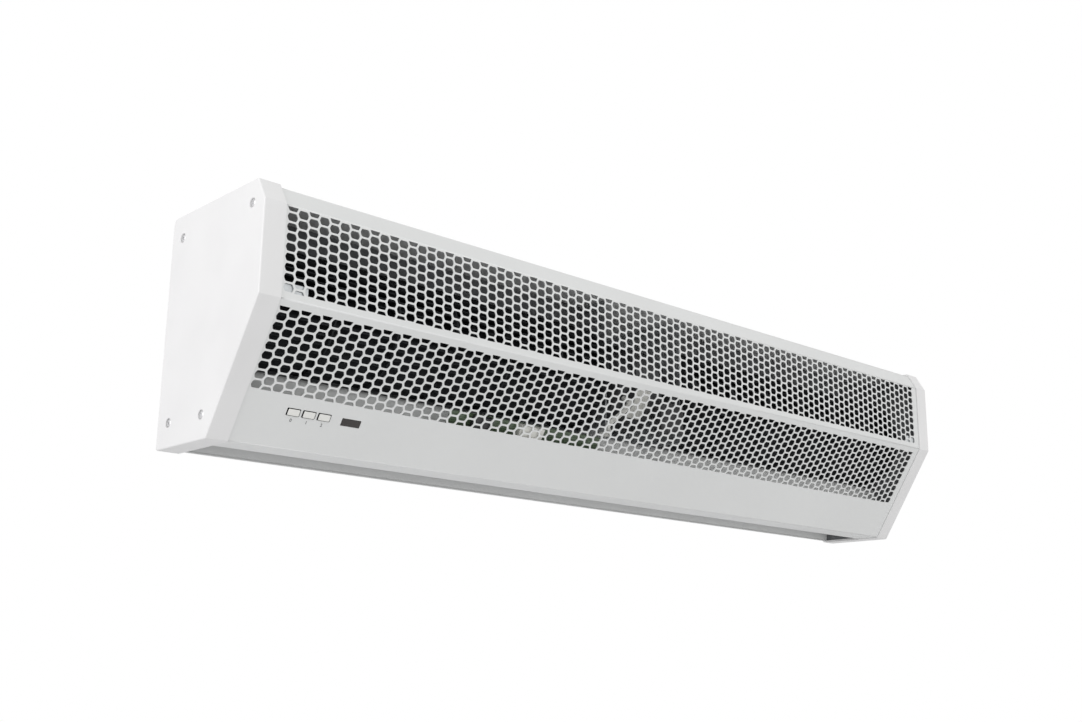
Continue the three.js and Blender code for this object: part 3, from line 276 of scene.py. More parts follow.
def place(piece, slot, body="housing", replaces=()):
    """Gives a piece its finish, its body and the CAD nodes that it stands for."""
    bpy.context.scene.collection.objects.link(piece)
    piece.data.materials.clear()
    piece.data.materials.append(finishes[slot])
    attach(piece, body)
    if replaces:
        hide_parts(*replaces)
    return piece


def outward(piece):
    """Turns all faces outwards."""
    bm = bmesh.new()
    bm.from_mesh(piece.data)
    bmesh.ops.recalc_face_normals(bm, faces=bm.faces)
    bm.to_mesh(piece.data)
    bm.free()
    return piece


def applied(piece):
    """Applies the piece's modifiers to its mesh."""
    graph = bpy.context.evaluated_depsgraph_get()
    data = bpy.data.meshes.new_from_object(piece.evaluated_get(graph))
    piece.modifiers.clear()
    piece.data = data
    return piece


def polished(piece, angle=CREASE):
    """Smooth shading with sharp creases, in which the flat faces stay flat."""
    outward(piece)
    piece.data.polygons.foreach_set("use_smooth", [True] * len(piece.data.polygons))
    piece.data.set_sharp_from_angle(angle=math.radians(angle))
    weighted = piece.modifiers.new("normals", "WEIGHTED_NORMAL")
    weighted.keep_sharp = True
    return applied(piece)


def softened(piece, width, segments):
    """Rounds the piece's edges."""
    bevel = piece.modifiers.new("soft", "BEVEL")
    bevel.width = width * MM
    bevel.segments = segments
    bevel.limit_method = "ANGLE"
    bevel.angle_limit = math.radians(SOFT_ANGLE)
    return polished(applied(piece), SOFT_CREASE)


def pierced(piece, tool):
    """The piece with the tool's shape cut away."""
    cutter = bpy.data.objects.new("cutter", tool)
    bpy.context.scene.collection.objects.link(cutter)
    outward(cutter)
    cut = piece.modifiers.new("cut", "BOOLEAN")
    cut.operation = "DIFFERENCE"
    cut.solver = "EXACT"
    cut.object = cutter
    applied(outward(piece))
    bpy.data.objects.remove(cutter)
    return piece


def planar(outer, holes):
    """Faces that fill a closed outline around its holes, as (points, faces)."""
    points, loops = [], []
    for loop in [outer, *holes]:
        loops.append(list(range(len(points), len(points) + len(loop))))
        points += [Vector((p[0], p[1])) for p in loop]
    filled = delaunay_2d_cdt(points, [], loops, 1, WELD)
    faces = [ids for ids, inside in zip(filled[2], filled[5]) if inside == [0]]
    return filled[0], faces


def face_frame(foot, head):
    """A flat face's frame: X along the unit, Y up the face, Z outwards; from millimetres to metres."""
    up = (head - foot).normalized()
    x, v = Vector((1, 0, 0)), Vector((0, up.x, up.y))
    turn = Matrix((x, v, x.cross(v))).transposed().to_4x4()
    return Matrix.Translation(to_row(0, foot.x, foot.y)) @ turn @ Matrix.Scale(MM, 4)


UPPER_FACE = face_frame(PANEL_OUTER[3], PANEL_OUTER[2])
LOWER_FACE = face_frame(PANEL_OUTER[4], PANEL_OUTER[3])
LOWER_LENGTH = (PANEL_OUTER[3] - PANEL_OUTER[4]).length

# ---------------------------------------------------------------- finishes

FACTOR_RANGE = (0.3, 0.7)  # noise seldom leaves this range


class Finish:
    """A node material: a base colour with slow and fine variation, roughness and surface relief."""

    def __init__(self, name, color, roughness, metallic=0.0, **sockets):
        self.material = bpy.data.materials.new(name)
        self.material.use_nodes = True
        self.tree = self.material.node_tree
        self.shader = self.tree.nodes["Principled BSDF"]
        self.shader.inputs["Metallic"].default_value = metallic
        self.shader.inputs["Roughness"].default_value = roughness
        self.shader.inputs["Base Color"].default_value = (*color, 1)
        for socket, value in sockets.items():
            self.shader.inputs[socket.replace("_", " ")].default_value = value
        self.color = color
        self.roughness = roughness
        self.place = self.node("ShaderNodeTexCoord").outputs["Object"]

    def node(self, kind, **values):
        made = self.tree.nodes.new(kind)
        for key, value in values.items():
            made.inputs[key].default_value = value
        return made

    def link(self, output, target):
        self.tree.links.new(output, target)

    def noise(self, scale, detail, stretch=(1, 1, 1)):
        """Noise over the piece. Scale is in bumps for each metre."""
        mapping = self.node("ShaderNodeMapping")
        mapping.inputs["Scale"].default_value = stretch
        self.link(self.place, mapping.inputs["Vector"])
        made = self.node("ShaderNodeTexNoise", Scale=scale, Detail=detail)
        self.link(mapping.outputs["Vector"], made.inputs["Vector"])
        return made.outputs["Fac"]

    def cells(self, scale):
        """Shades in patches, as crystals in zinc."""
        made = self.node("ShaderNodeTexVoronoi", Scale=scale)
        self.link(self.place, made.inputs["Vector"])
        return made.outputs["Color"]

    def shift(self, factor, amount):
        """Base colour made darker and lighter by a share."""
        ramp = self.node("ShaderNodeValToRGB")
        shares = (1 - amount, 1 + amount)
        for stop, position, share in zip(ramp.color_ramp.elements, FACTOR_RANGE, shares):
            stop.position = position
            stop.color = (*(min(1, c * share) for c in self.color), 1)
        self.link(factor, ramp.inputs["Fac"])
        self.link(ramp.outputs["Color"], self.shader.inputs["Base Color"])

    def rough(self, factor, amount):
        """Roughness made lower and higher by an amount."""
        made = self.node("ShaderNodeMapRange")
        made.inputs["From Min"].default_value = FACTOR_RANGE[0]
        made.inputs["From Max"].default_value = FACTOR_RANGE[1]
        made.inputs["To Min"].default_value = self.roughness - amount
        made.inputs["To Max"].default_value = self.roughness + amount
        self.link(factor, made.inputs["Value"])
        self.link(made.outputs["Result"], self.shader.inputs["Roughness"])

    def relief(self, factor, depth):
        """Surface relief over what is there. Depth is in millimetres."""
        bump = self.node("ShaderNodeBump", Strength=1, Distance=depth * MM)
        self.link(factor, bump.inputs["Height"])
        last = self.shader.inputs["Normal"]
        if last.is_linked:
            self.link(last.links[0].from_socket, bump.inputs["Normal"])
        self.link(bump.outputs["Normal"], last)


def painted(name, color, roughness, gloss=0.45):
    """Powder coat: a fine orange peel, with slow changes of gloss and shade."""
    made = Finish(name, color, roughness, Specular_IOR_Level=gloss)
    made.shift(made.noise(9, 3), 0.018)
    made.rough(made.noise(34, 3), 0.05)
    made.relief(made.noise(950, 1.5), 0.012)
    made.relief(made.noise(4200, 1), 0.003)
    return made


def moulded(name, color, roughness, relief=0.01, **sockets):
    """Moulded plastic with a fine spark-eroded grain."""
    made = Finish(name, color, roughness, **sockets)
    made.shift(made.noise(14, 2), 0.03)
    made.rough(made.noise(60, 2), 0.06)
    made.relief(made.noise(2600, 2), relief)
    return made


def plated(name, color):
    """Zinc plating with faint crystals."""
    made = Finish(name, color, 0.38, 0.85)
    made.shift(made.cells(160), 0.04)
    made.rough(made.noise(90, 4), 0.1)
    made.relief(made.noise(700, 3), 0.006)
    return made


def turned_steel(name, color):
    """Steel with fine marks round the axis."""
    made = Finish(name, color, 0.28, 1.0)
    made.shift(made.noise(300, 3), 0.08)
    made.rough(made.noise(900, 3, (0.1, 1, 1)), 0.1)
    made.relief(made.noise(3000, 2, (1, 0.15, 0.15)), 0.004)
    return made


def board(name, color):
    """Solder mask over copper tracks."""
    made = Finish(name, color, 0.3, Coat_Weight=0.4, Coat_Roughness=0.15)
    tracks = made.node("ShaderNodeTexBrick", Scale=240)
    tracks.inputs["Mortar Size"].default_value = 0.06
    tracks.inputs["Color1"].default_value = (*color, 1)
    tracks.inputs["Color2"].default_value = (*(c * 0.86 for c in color), 1)
    tracks.inputs["Mortar"].default_value = (*(c * 1.7 for c in color), 1)
    made.link(made.place, tracks.inputs["Vector"])
    made.link(tracks.outputs["Color"], made.shader.inputs["Base Color"])
    made.relief(tracks.outputs["Fac"], 0.02)
    made.rough(made.noise(200, 2), 0.05)
    return made


def rubber(name, color):
    """Dull rubber with an uneven skin."""
    made = Finish(name, color, 0.75)
    made.shift(made.noise(40, 3), 0.2)
    made.rough(made.noise(200, 2), 0.1)
    made.relief(made.noise(1600, 3), 0.02)
    return made


def smoked(name, color):
    """Dark window plastic with a polished face."""
    made = Finish(name, color, 0.12, Coat_Weight=0.6, Coat_Roughness=0.05)
    made.shift(made.noise(30, 1), 0.15)
    made.rough(made.noise(120, 2), 0.04)
    return made


SLOT_COLORS = {m["slot"]: tuple(m["base_color"]) for m in frame["record"]["materials"]}
FINISH_KINDS = {
    "panel_paint": lambda n, c: painted(n, c, 0.42),
    "inner_paint": lambda n, c: painted(n, c, 0.7, 0.1),
    "motor_paint": lambda n, c: painted(n, c, 0.45),
    "cap_white": lambda n, c: moulded(n, c, 0.4, 0.006),
    "zinc_sheet": plated,
    "bright_steel": turned_steel,
    "black_rubber": rubber,
    "wheel_plastic": lambda n, c: moulded(n, c, 0.75, Specular_IOR_Level=0.1),
    "key_plastic": lambda n, c: moulded(n, c, 0.35, 0.004),
    "dark_plastic": lambda n, c: moulded(n, c, 0.5),
    "window_plastic": smoked,
    "pale_plastic": lambda n, c: moulded(n, c, 0.45),
    "board_laminate": board,
    "lead_sleeve": lambda n, c: moulded(n, c, 0.55),
}
finishes = {slot: make(slot, SLOT_COLORS[slot]).material for slot, make in FINISH_KINDS.items()}

for part in frame["record"]["subparts"]:
    node = frame["nodes"][part["node"]]
    node.data.materials.clear()
    node.data.materials.append(finishes[part["material_slot"]])

# ---------------------------------------------------------------- perforated front panel

CORNER_STEPS = 3


def rounded_hexagon(cx, cv):
    """A hole with flat top and bottom, blunt pointed sides and rounded corners."""
    a, h = HOLE_WIDTH / 2, HOLE_HEIGHT / 2
    b = a - HOLE_TIP
    sharp = [at(-a, 0), at(-b, -h), at(b, -h), at(a, 0), at(b, h), at(-b, h)]
    return [p + at(cx, cv) for p in round_loop(sharp, [HOLE_ROUND] * 6, CORNER_STEPS)]


def half_of(loop, level, upper):
    """The part of a hole on one side of a level, which closes it with a straight edge."""
    side = 1 if upper else -1
    inside = [side * (p.y - level) > WELD for p in loop]
    kept = []
    for i, p in enumerate(loop):
        q = loop[(i + 1) % len(loop)]
        if inside[i]:
            kept.append(p)
        if inside[i] != inside[(i + 1) % len(loop)]:
            kept.append(p.lerp(q, (level - p.y) / (q.y - p.y)))
    return kept


def band_holes(foot, head):
    """One band: its odd columns start with a half hole, and the others end with one."""
    left = -CAP_INNER + FIELD_LEFT_MARGIN
    right = CAP_INNER - FIELD_RIGHT_MARGIN
    pitch_x = (right - left) / (HOLE_COLUMNS - 1)
    pitch_v = (head - foot) / (HOLE_ROWS + 0.5)
    holes = []
    for column in range(HOLE_COLUMNS):
        cx = left + column * pitch_x
        odd = column % 2 == 0
        for row in range(HOLE_ROWS):
            holes.append(rounded_hexagon(cx, head - (row + (1 if odd else 0.5)) * pitch_v))
        level = head if odd else foot
        holes.append(half_of(rounded_hexagon(cx, level), level + HALF_HOLE_RISE, not odd))
    return holes


BUTTON_INSET = 64.2
BUTTON_PITCH = 13.9
BUTTON_RISE = 30.8
BUTTON_X = [-HALF + BUTTON_INSET + i * BUTTON_PITCH for i in range(3)]
BUTTON_PLAY_X = 1
BUTTON_PLAY_V = 0.6
BUTTON_HOLE_ROUND = 0.6
WINDOW_INSET = 117.5
WINDOW_RISE = 29.8
WINDOW_WIDTH = 17.4
WINDOW_HEIGHT = 5.8
WINDOW_HOLE_ROUND = 0.4
FOLD_STEPS = 8


def rounded_box(cx, cv, width, height, radius):
    a, h = width / 2, height / 2
    sharp = [at(-a, -h), at(a, -h), at(a, h), at(-a, h)]
    return [p + at(cx, cv) for p in round_loop(sharp, [radius] * 4, CORNER_STEPS)]


def face_box(node):
    """A CAD node's box in the sloped face's frame, in millimetres."""
    back = LOWER_FACE.inverted()
    points = [back @ v.co for v in frame["nodes"][node].data.vertices]
    low = Vector([min(p[i] for p in points) for i in range(3)])
    high = Vector([max(p[i] for p in points) for i in range(3)])
    return low, high


def control_holes():
    """The buttons' three holes and the receiver window's one."""
    low, high = face_box("button_off")
    width = high.x - low.x + 2 * BUTTON_PLAY_X
    height = high.y - low.y + 2 * BUTTON_PLAY_V
    holes = [rounded_box(x, BUTTON_RISE, width, height, BUTTON_HOLE_ROUND) for x in BUTTON_X]
    width, height = WINDOW_WIDTH + 2 * FIT, WINDOW_HEIGHT + 2 * FIT
    holes.append(rounded_box(-HALF + WINDOW_INSET, WINDOW_RISE, width, height, WINDOW_HOLE_ROUND))
    return holes


def across(path):
    """A drawn path at the panel's two ends."""
    return [[to_row(x, *p) for p in path] for x in (-PANEL_HALF, PANEL_HALF)]


def front_panel():
    """The folded sheet: flat faces filled round their holes, and rounded folds between them."""
    shell = Mesh()
    corners = PANEL_OUTER
    folds = []
    for i, radius in enumerate([FOLD_RADIUS, FOLD_RADIUS, FOLD_RADIUS, SOLE_FOLD]):
        folds.append(round_corner(corners[i], corners[i + 1], corners[i + 2], radius, FOLD_STEPS))
    ends = [[corners[0]], *folds, [corners[-1]]]
    upper = band_holes(BAND_ABOVE_KNEE, HEIGHT - BEVEL_HEIGHT - KNEE_HEIGHT - BAND_BELOW_BEVEL)
    lower = band_holes(BAND_FOOT, LOWER_LENGTH - BAND_BELOW_KNEE) + control_holes()
    punched = {2: (UPPER_FACE, corners[3], upper), 3: (LOWER_FACE, corners[4], lower)}
    for i, (before, after) in enumerate(zip(ends, ends[1:])):
        start, end = before[-1], after[0]
        if i in punched:
            face, foot, holes = punched[i]
            outer = []
            for side, point in ((-1, end), (1, end), (1, start), (-1, start)):
                outer.append(at(side * PANEL_HALF, (point - foot).length))
            shell.fill(outer, holes, lambda p, placed=face: placed @ Vector((*p, 0)))
        else:
            shell.strip(*across([start, end]), smooth=False)
    for fold in folds:
        shell.strip(*across(fold))
    piece = outward(shell.make("perforated_panel", "panel_paint", replaces=["front_panel"]))
    thick = piece.modifiers.new("sheet", "SOLIDIFY")
    thick.thickness = GRILLE_SHEET * MM
    thick.offset = -1
    thick.use_even_offset = True
    applied(piece)


front_panel()

# ---------------------------------------------------------------- end caps

CAP_SCREW_PLACES = [
    at(-17.3, HEIGHT - 19.8),
    at(-(DEPTH - 17.1), HEIGHT - 18.3),
    at(-(SOLE_DEPTH - 8.8), 19.3),
    at(-17.6, 19.8),
]
CAP_BOSS_END = CAP_INNER + CASING_SHEET + FIT
RECESS_R = CAP_SCREW_HEAD_R + 3 * FIT
BORE_R = CAP_SCREW_SHANK_R + FIT
EDGE_STEPS = 6
BOSS_STEPS = 32
ROD_STEPS = 48
GROMMET_X = CAP_INNER + CASING_SHEET + (CAP_WIDTH - CASING_SHEET - CAP_WALL) / 2
GROMMET_Y = -DEPTH * 0.35
GROMMET_R = 6


def end_cap(name, side):
    """A tray with a rounded outer edge, four screw bosses and a recess for each screw's head."""
    shell = Mesh()

    def flat(x, outer, holes):
        shell.fill(outer, holes, lambda p: to_row(side * x, *p))

    def tube(x0, x1, r0, r1, centre):
        shell.turned([(side * x0, r0), (side * x1, r1)], BOSS_STEPS, centre)

    turns = [math.pi / 2 * i / EDGE_STEPS for i in range(EDGE_STEPS + 1)]
    edge = [(HALF - CAP_EDGE * (1 - math.sin(t)), CAP_EDGE * (1 - math.cos(t))) for t in turns]
    inside = [(CAP_INNER, CAP_WALL), (HALF - CAP_WALL, CAP_WALL)]
    for path in ([(CAP_INNER, 0), *edge], inside):
        rings = [[to_row(side * x, *p) for p in outline_loop(inset)] for x, inset in path]
        for one, two in zip(rings, rings[1:]):
            shell.strip(one, two, closed=True)
    rim = [[to_row(side * CAP_INNER, *p) for p in outline_loop(inset)] for inset in (0, CAP_WALL)]
    shell.strip(*rim, closed=True)
    recesses = [disc(p, RECESS_R, BOSS_STEPS) for p in CAP_SCREW_PLACES]
    flat(HALF, outline_loop(CAP_EDGE), recesses)
    bosses = [disc(p, CAP_BOSS_R, BOSS_STEPS) for p in CAP_SCREW_PLACES]
    flat(HALF - CAP_WALL, outline_loop(CAP_WALL), bosses)
    seat = HALF - CAP_SCREW_SINK
    for p in CAP_SCREW_PLACES:
        tube(HALF, seat, RECESS_R, RECESS_R, p)
        tube(seat, seat, RECESS_R, BORE_R, p)
        tube(seat, CAP_BOSS_END, BORE_R, BORE_R, p)
        tube(CAP_BOSS_END, CAP_BOSS_END, BORE_R, CAP_BOSS_R, p)
        tube(CAP_BOSS_END, HALF - CAP_WALL, CAP_BOSS_R, CAP_BOSS_R, p)
    piece = shell.make(f"{name}_cover", "cap_white", replaces=[name])
    if side > 0:
        bottom, top = HEIGHT - 2 * CAP_WALL, HEIGHT + CAP_WALL
        pierced(piece, upright_rod(GROMMET_X, GROMMET_Y, GROMMET_R, bottom, top))
    polished(piece)


def upright_rod(x, y, radius, bottom, top):
    """A round tool that stands upright."""
    rod = Mesh()
    rings = [[to_row(p.x, p.y, z) for p in disc(at(x, y), radius, ROD_STEPS)] for z in (bottom, top)]
    rod.strip(*rings, closed=True)
    for ring in rings:
        rod.face(ring)
    return rod.data("rod")


for name, side in SIDES:
    end_cap(f"end_cap_{name}", side)

# ---------------------------------------------------------------- screws

SCREW_STEPS = 32
DOME_STEPS = 8
DOME_RIM = 0.25  # upright edge under the dome
TIP_CHAMFER = 0.4
TIP_LENGTH = 0.6
CROSS_DEPTH = 0.7
CROSS_FOOT = (0.42, 0.1)  # reach and half width of the cross, as shares of the head's radius
CROSS_MOUTH = (0.7, 0.2)
CAP_SCREW_TWIST = (20, 37)  # degrees for the first cross, and what each further one adds
PANEL_SCREW_TWIST = (10, 31)
PANEL_SCREW_INSET = 7  # from the top flange's rear edge
PANEL_SCREW_DEPTH = DEPTH - BEVEL_DEPTH - TOP_FLANGE + PANEL_SCREW_INSET
PANEL_SCREW_X = [i * LENGTH / 3 for i in (-1, 0, 1)]
PANEL_SCREW_HEAD_R = 3.5
PANEL_SCREW_HEIGHT = 1.6
PANEL_SCREW_LENGTH = 6


def cross_screw(radius, height, length):
    """A domed screw with a cross recess. Its head sits at X = 0, with its shank on the negative side."""
    shell = Mesh()
    turns = [math.pi / 2 * i / DOME_STEPS for i in range(DOME_STEPS + 1)]
    dome = [(DOME_RIM + (height - DOME_RIM) * math.sin(t), radius * math.cos(t)) for t in turns]
    shank = [
        (-length, 0),
        (-length, CAP_SCREW_SHANK_R - TIP_CHAMFER),
        (TIP_LENGTH - length, CAP_SCREW_SHANK_R),
        (0, CAP_SCREW_SHANK_R),
    ]
    shell.turned([*shank, (0, radius), *dome[:-1], (height, 0)], SCREW_STEPS, at(0, PLATE_CENTRE))
    head = bpy.data.objects.new("head", shell.data("head"))
    bpy.context.scene.collection.objects.link(head)
    cross = Mesh()
    rings = []
    for x, shares in ((height - CROSS_DEPTH, CROSS_FOOT), (height + 1, CROSS_MOUTH)):
        reach, half = (share * radius for share in shares)
        arm = [at(half, half), at(half, reach), at(-half, reach)]
        loop = [Matrix.Rotation(i * math.pi / 2, 2) @ p for i in range(4) for p in arm]
        rings.append([to_row(x, p.x, p.y + PLATE_CENTRE) for p in loop])
        cross.fill(loop, [], lambda p, level=x: to_row(level, p.x, p.y + PLATE_CENTRE))
    cross.strip(*rings, closed=True)
    pierced(head, cross.data("cross"))
    data = head.data
    bpy.data.objects.remove(head)
    return data


def drive_in(node, data, spot, turn, twist):
    """Puts a screw in its place, with its cross turned by a number of degrees."""
    copy = data.copy()
    copy.transform(Matrix.Translation(spot) @ turn @ Matrix.Rotation(math.radians(twist), 4, "X"))
    piece = bpy.data.objects.new(f"{node}_cross_head", copy)
    polished(place(piece, "bright_steel", replaces=[node]), FINE_CREASE)


def screws():
    """Four screws in each end cap, and three in the panel's top flange."""
    seat = HALF - CAP_SCREW_SINK + FIT
    short = cross_screw(CAP_SCREW_HEAD_R, CAP_SCREW_HEIGHT, seat - CAP_INNER + CASING_SHEET)
    first, more = CAP_SCREW_TWIST
    for name, side in SIDES:
        turn = Matrix.Rotation(0 if side > 0 else math.pi, 4, "Z")
        for i, p in enumerate(CAP_SCREW_PLACES):
            drive_in(f"cap_screw_{name}_{i + 1}", short, to_row(side * seat, *p), turn, first + more * i)
    wide = cross_screw(PANEL_SCREW_HEAD_R, PANEL_SCREW_HEIGHT, PANEL_SCREW_LENGTH)
    turn = Matrix.Rotation(-math.pi / 2, 4, "Y")
    first, more = PANEL_SCREW_TWIST
    for i, x in enumerate(PANEL_SCREW_X):
        spot = to_row(x, -PANEL_SCREW_DEPTH, HEIGHT - TOP_STEP + FIT)
        drive_in(f"panel_screw_{i + 1}", wide, spot, turn, first + more * i)


screws()

# ---------------------------------------------------------------- folded sheets

SCROLL_SHEET = 1
BEND_STEPS = 6
CASING_OUTER = [
    at(-5.6, 1.4),
    at(-0.6, 1.4),
    at(-0.6, 30),
    at(-8, 38),
    at(-8, 152),
    at(-0.6, 160),
    at(-0.6, HEIGHT - TOP_STEP - PANEL_SHEET - FIT),
    OUTLINE[2] + at(FOLD_RADIUS + PANEL_SHEET, -TOP_STEP - PANEL_SHEET - FIT),
]
LINING = offset_path(CASING_OUTER, [CASING_SHEET + FIT] * 7)
RECESS_FACE = LINING[3].x
WALL_FOOT = at(-4.6, LINING[1].y)
BULKHEAD_FOOT = 14
BULKHEAD_OFFSET = 52
SCROLL_GAP = 4  # between the wheel and the scroll's top
SCROLL_STEPS = 24
TONGUE_RADIUS = WHEEL_RADIUS + 5
TONGUE_FACE = -(SOLE_DEPTH - 0.9)
TONGUE_START = 8  # degrees behind the lowest point under the wheel
TONGUE_FOOT = 12
TONGUE_GAP = 2  # between the front wall and the panel's slope
TONGUE_NOSE = 9  # radius of the front wall's rounded top
NOSE_STEPS = 10
SCROLL_CREASE = 25
SCREW_HOLE_DEPTH = 10  # of the tool that cuts the panel screws' holes
HOOK_SPACING = 400
HOOK_SLOT = (38, 6, 12, 121, 133.3)  # width, then least and most depth, then foot and head


def rounded_path(points, radius):
    """An open path with its corners rounded."""
    inner = []
    for before, corner, after in zip(points, points[1:], points[2:]):
        inner += round_corner(before, corner, after, radius, BEND_STEPS)
    return [points[0], *inner, points[-1]]


def folded(node, slot, path, thickness, x0, x1):
    """A folded sheet along X. The path is one face, and the thickness lies to its left."""
    outline = [*path, *reversed(offset_path(path, [thickness] * (len(path) - 1)))]
    shell = Mesh()
    shell.strip(*[[to_row(x, *p) for p in outline] for x in (x0, x1)], closed=True)
    for x in (x0, x1):
        shell.fill(outline, [], lambda p, end=x: to_row(end, *p))
    return shell.make(f"{node}_folded", slot, replaces=[node])


def on_wall(height):
    """A point on the outlet's rear wall."""
    return WALL_FOOT.lerp(LINING[3], (height - WALL_FOOT.y) / (LINING[3].y - WALL_FOOT.y))


def scrolls():
    """The curved sheets behind the wheels, from the outlet's rear wall to the casing's top."""
    rear, top = RECESS_FACE - AXIS_Y, WHEEL_RADIUS + SCROLL_GAP + SCROLL_SHEET
    arc = []
    for i in range(SCROLL_STEPS + 1):
        share = 1 - i / SCROLL_STEPS
        angle, r = share * math.pi / 2, top + (rear - top) * share
        arc.append(at(AXIS_Y + r * math.sin(angle), AXIS_Z + r * math.cos(angle)))
    ceiling = CASING_OUTER[6].y - CASING_SHEET - FIT
    path = [on_wall(BULKHEAD_FOOT), LINING[3], *arc, at(arc[-1].x, ceiling)]
    inner = BULKHEAD_OFFSET + CASING_SHEET + FIT
    for name, side in SIDES:
        ends = (side * inner, side * BODY_HALF)
        polished(folded(f"scroll_{name}", "inner_paint", path, SCROLL_SHEET, *ends), SCROLL_CREASE)


def tongue():
    """The plate between inlet and outlet: a foot, a slope under the wheel and a front wall."""
    front = math.asin((TONGUE_FACE - AXIS_Y) / TONGUE_RADIUS)
    under = []
    for t in (math.radians(TONGUE_START), front):
        under.append(at(AXIS_Y + TONGUE_RADIUS * math.sin(t), AXIS_Z - TONGUE_RADIUS * math.cos(t)))
    head, foot = offset_path([PANEL_OUTER[3], PANEL_OUTER[4]], [PANEL_SHEET])
    skirt = at(TONGUE_FACE, foot.lerp(head, (TONGUE_FACE - TONGUE_GAP - foot.x) / (head.x - foot.x)).y)
    nose = round_corner(under[0], under[1], skirt, TONGUE_NOSE, NOSE_STEPS)
    rest = PANEL_STEP + PANEL_SHEET + FIT
    path = [at(-LIP_EDGE - TONGUE_FOOT, rest), at(-LIP_EDGE - FIT, rest), under[0], *nose, skirt]
    shell = folded("tongue_channel", "panel_paint", path, SCROLL_SHEET, -BODY_HALF, BODY_HALF)
    polished(shell, FINE_CREASE)


def box_tool(x0, x1, y0, y1, z0, z1):
    """A square tool."""
    tool = Mesh()
    rings = [[to_row(x, y, z) for x, y in ((x0, y0), (x1, y0), (x1, y1), (x0, y1))] for z in (z0, z1)]
    tool.strip(*rings, closed=True)
    for ring in rings:
        tool.face(ring)
    return tool.data("box")


def rear_casing():
    """Back and top, with slots for the wall plate's hooks and holes for the panel's screws."""
    path = rounded_path(CASING_OUTER, FOLD_RADIUS)
    shell = folded("rear_casing", "panel_paint", path, CASING_SHEET, -BODY_HALF, BODY_HALF)
    width, near, far, foot, head = HOOK_SLOT
    for side in (-1, 1):
        middle = side * HOOK_SPACING / 2
        pierced(shell, box_tool(middle - width / 2, middle + width / 2, -far, -near, foot, head))
    for x in PANEL_SCREW_X:
        pierced(shell, upright_rod(x, -PANEL_SCREW_DEPTH, BORE_R, HEIGHT - SCREW_HOLE_DEPTH, HEIGHT))
    polished(shell, FINE_CREASE)


scrolls()
tongue()
rear_casing()

# ---------------------------------------------------------------- rotor and motor

BLADES = 36
BLADE_SHEET = 0.9
BLADE_STEPS = 6
BLADE_TIP = 47.6
BLADE_ROOT = 37.44
BLADE_SWEEP = 16  # degrees that the root lags behind the tip
BLADE_CAMBER = 2.2
BLADE_SINK = 1  # of the blades' ends in the end discs
RINGS = 5
RING_HALF = 0.8
RING_BORE = 0.74  # of the wheel's radius
WHEEL_STEPS = 72
DISC_SHEET = 3
WHEEL_INNER_END = 61.2
WHEEL_OUTER_END = CAP_INNER - 6  # a gap beside the side plates
HUB_R = 13
HUB_LENGTH = 20
PIN_HUB_R = 10
PIN_HUB_LENGTH = 13
SHAFT_BORE = 5.3
PIN_BORE = 4.3
HUB_SCREW_R = 2.3
PIECE_STEPS = 64
HUB_STEPS = 48
MOTOR_BAND_HALF = 17  # half the length of the stator's band
MOTOR_BAND_R = 41
MOTOR_FINS = 21
FIN_START = 0.5
FIN_PITCH = 1.5
FIN_SINK = 0.6
MOTOR_SHIELD = 32  # where the end shields close to the necks
MOTOR_SHIELD_R = 33.4
MOTOR_SHIELD_FOOT = (1, 0.6)  # the shield's fillet beside the band: its width and rise
MOTOR_SHIELD_EDGE = ((5, 0), (2, 1.4), (0, 5.4))  # back from the shield's end, and in from its radius
NECK_END = 58.2
NECK_R = 15
RING_CHAMFER = 0.5
MOUNT_RING = (47.6, 57.6, 15.3, 20)  # both ends' places, then bore and radius
BEARING_HALF = 3.5
BEARING_BORE = 4.3
BEARING_R = 11
CUSHION_HALF = 4.5
CUSHION_BORE = 11.3
CUSHION_R = 16
RETAINER_FLANGE_R = 23.8
RETAINER_R = 17.8
RETAINER_BORE = 10
RETAINER_SHEET = 1.5
RETAINER_FOOT = 1
RETAINER_EDGE = 0.8
SHAFT_R = 5
SHAFT_CHAMFER = 0.6  # and that of the motor's necks
PIN_R = 4
PIN_CHAMFER = 0.5
PIN_REACH = 7  # beyond the caps' inner edges


def blade_outline(angle):
    """A cambered blade, seen along the axis."""
    tip = at(BLADE_TIP, 0)
    root = Matrix.Rotation(-math.radians(BLADE_SWEEP), 2) @ at(BLADE_ROOT, 0)
    along = (tip - root).normalized()
    middle = (tip + root) / 2 + at(-along.y, along.x) * 2 * BLADE_CAMBER
    spine = []
    for i in range(BLADE_STEPS + 1):
        t = i / BLADE_STEPS
        spine.append(root * (1 - t) ** 2 + middle * 2 * t * (1 - t) + tip * t ** 2)
    other = offset_path(spine, [BLADE_SHEET] * BLADE_STEPS)
    turn = Matrix.Rotation(angle, 2)
    return [turn @ p + at(AXIS_Y, AXIS_Z) for p in [*spine, *reversed(other)]]


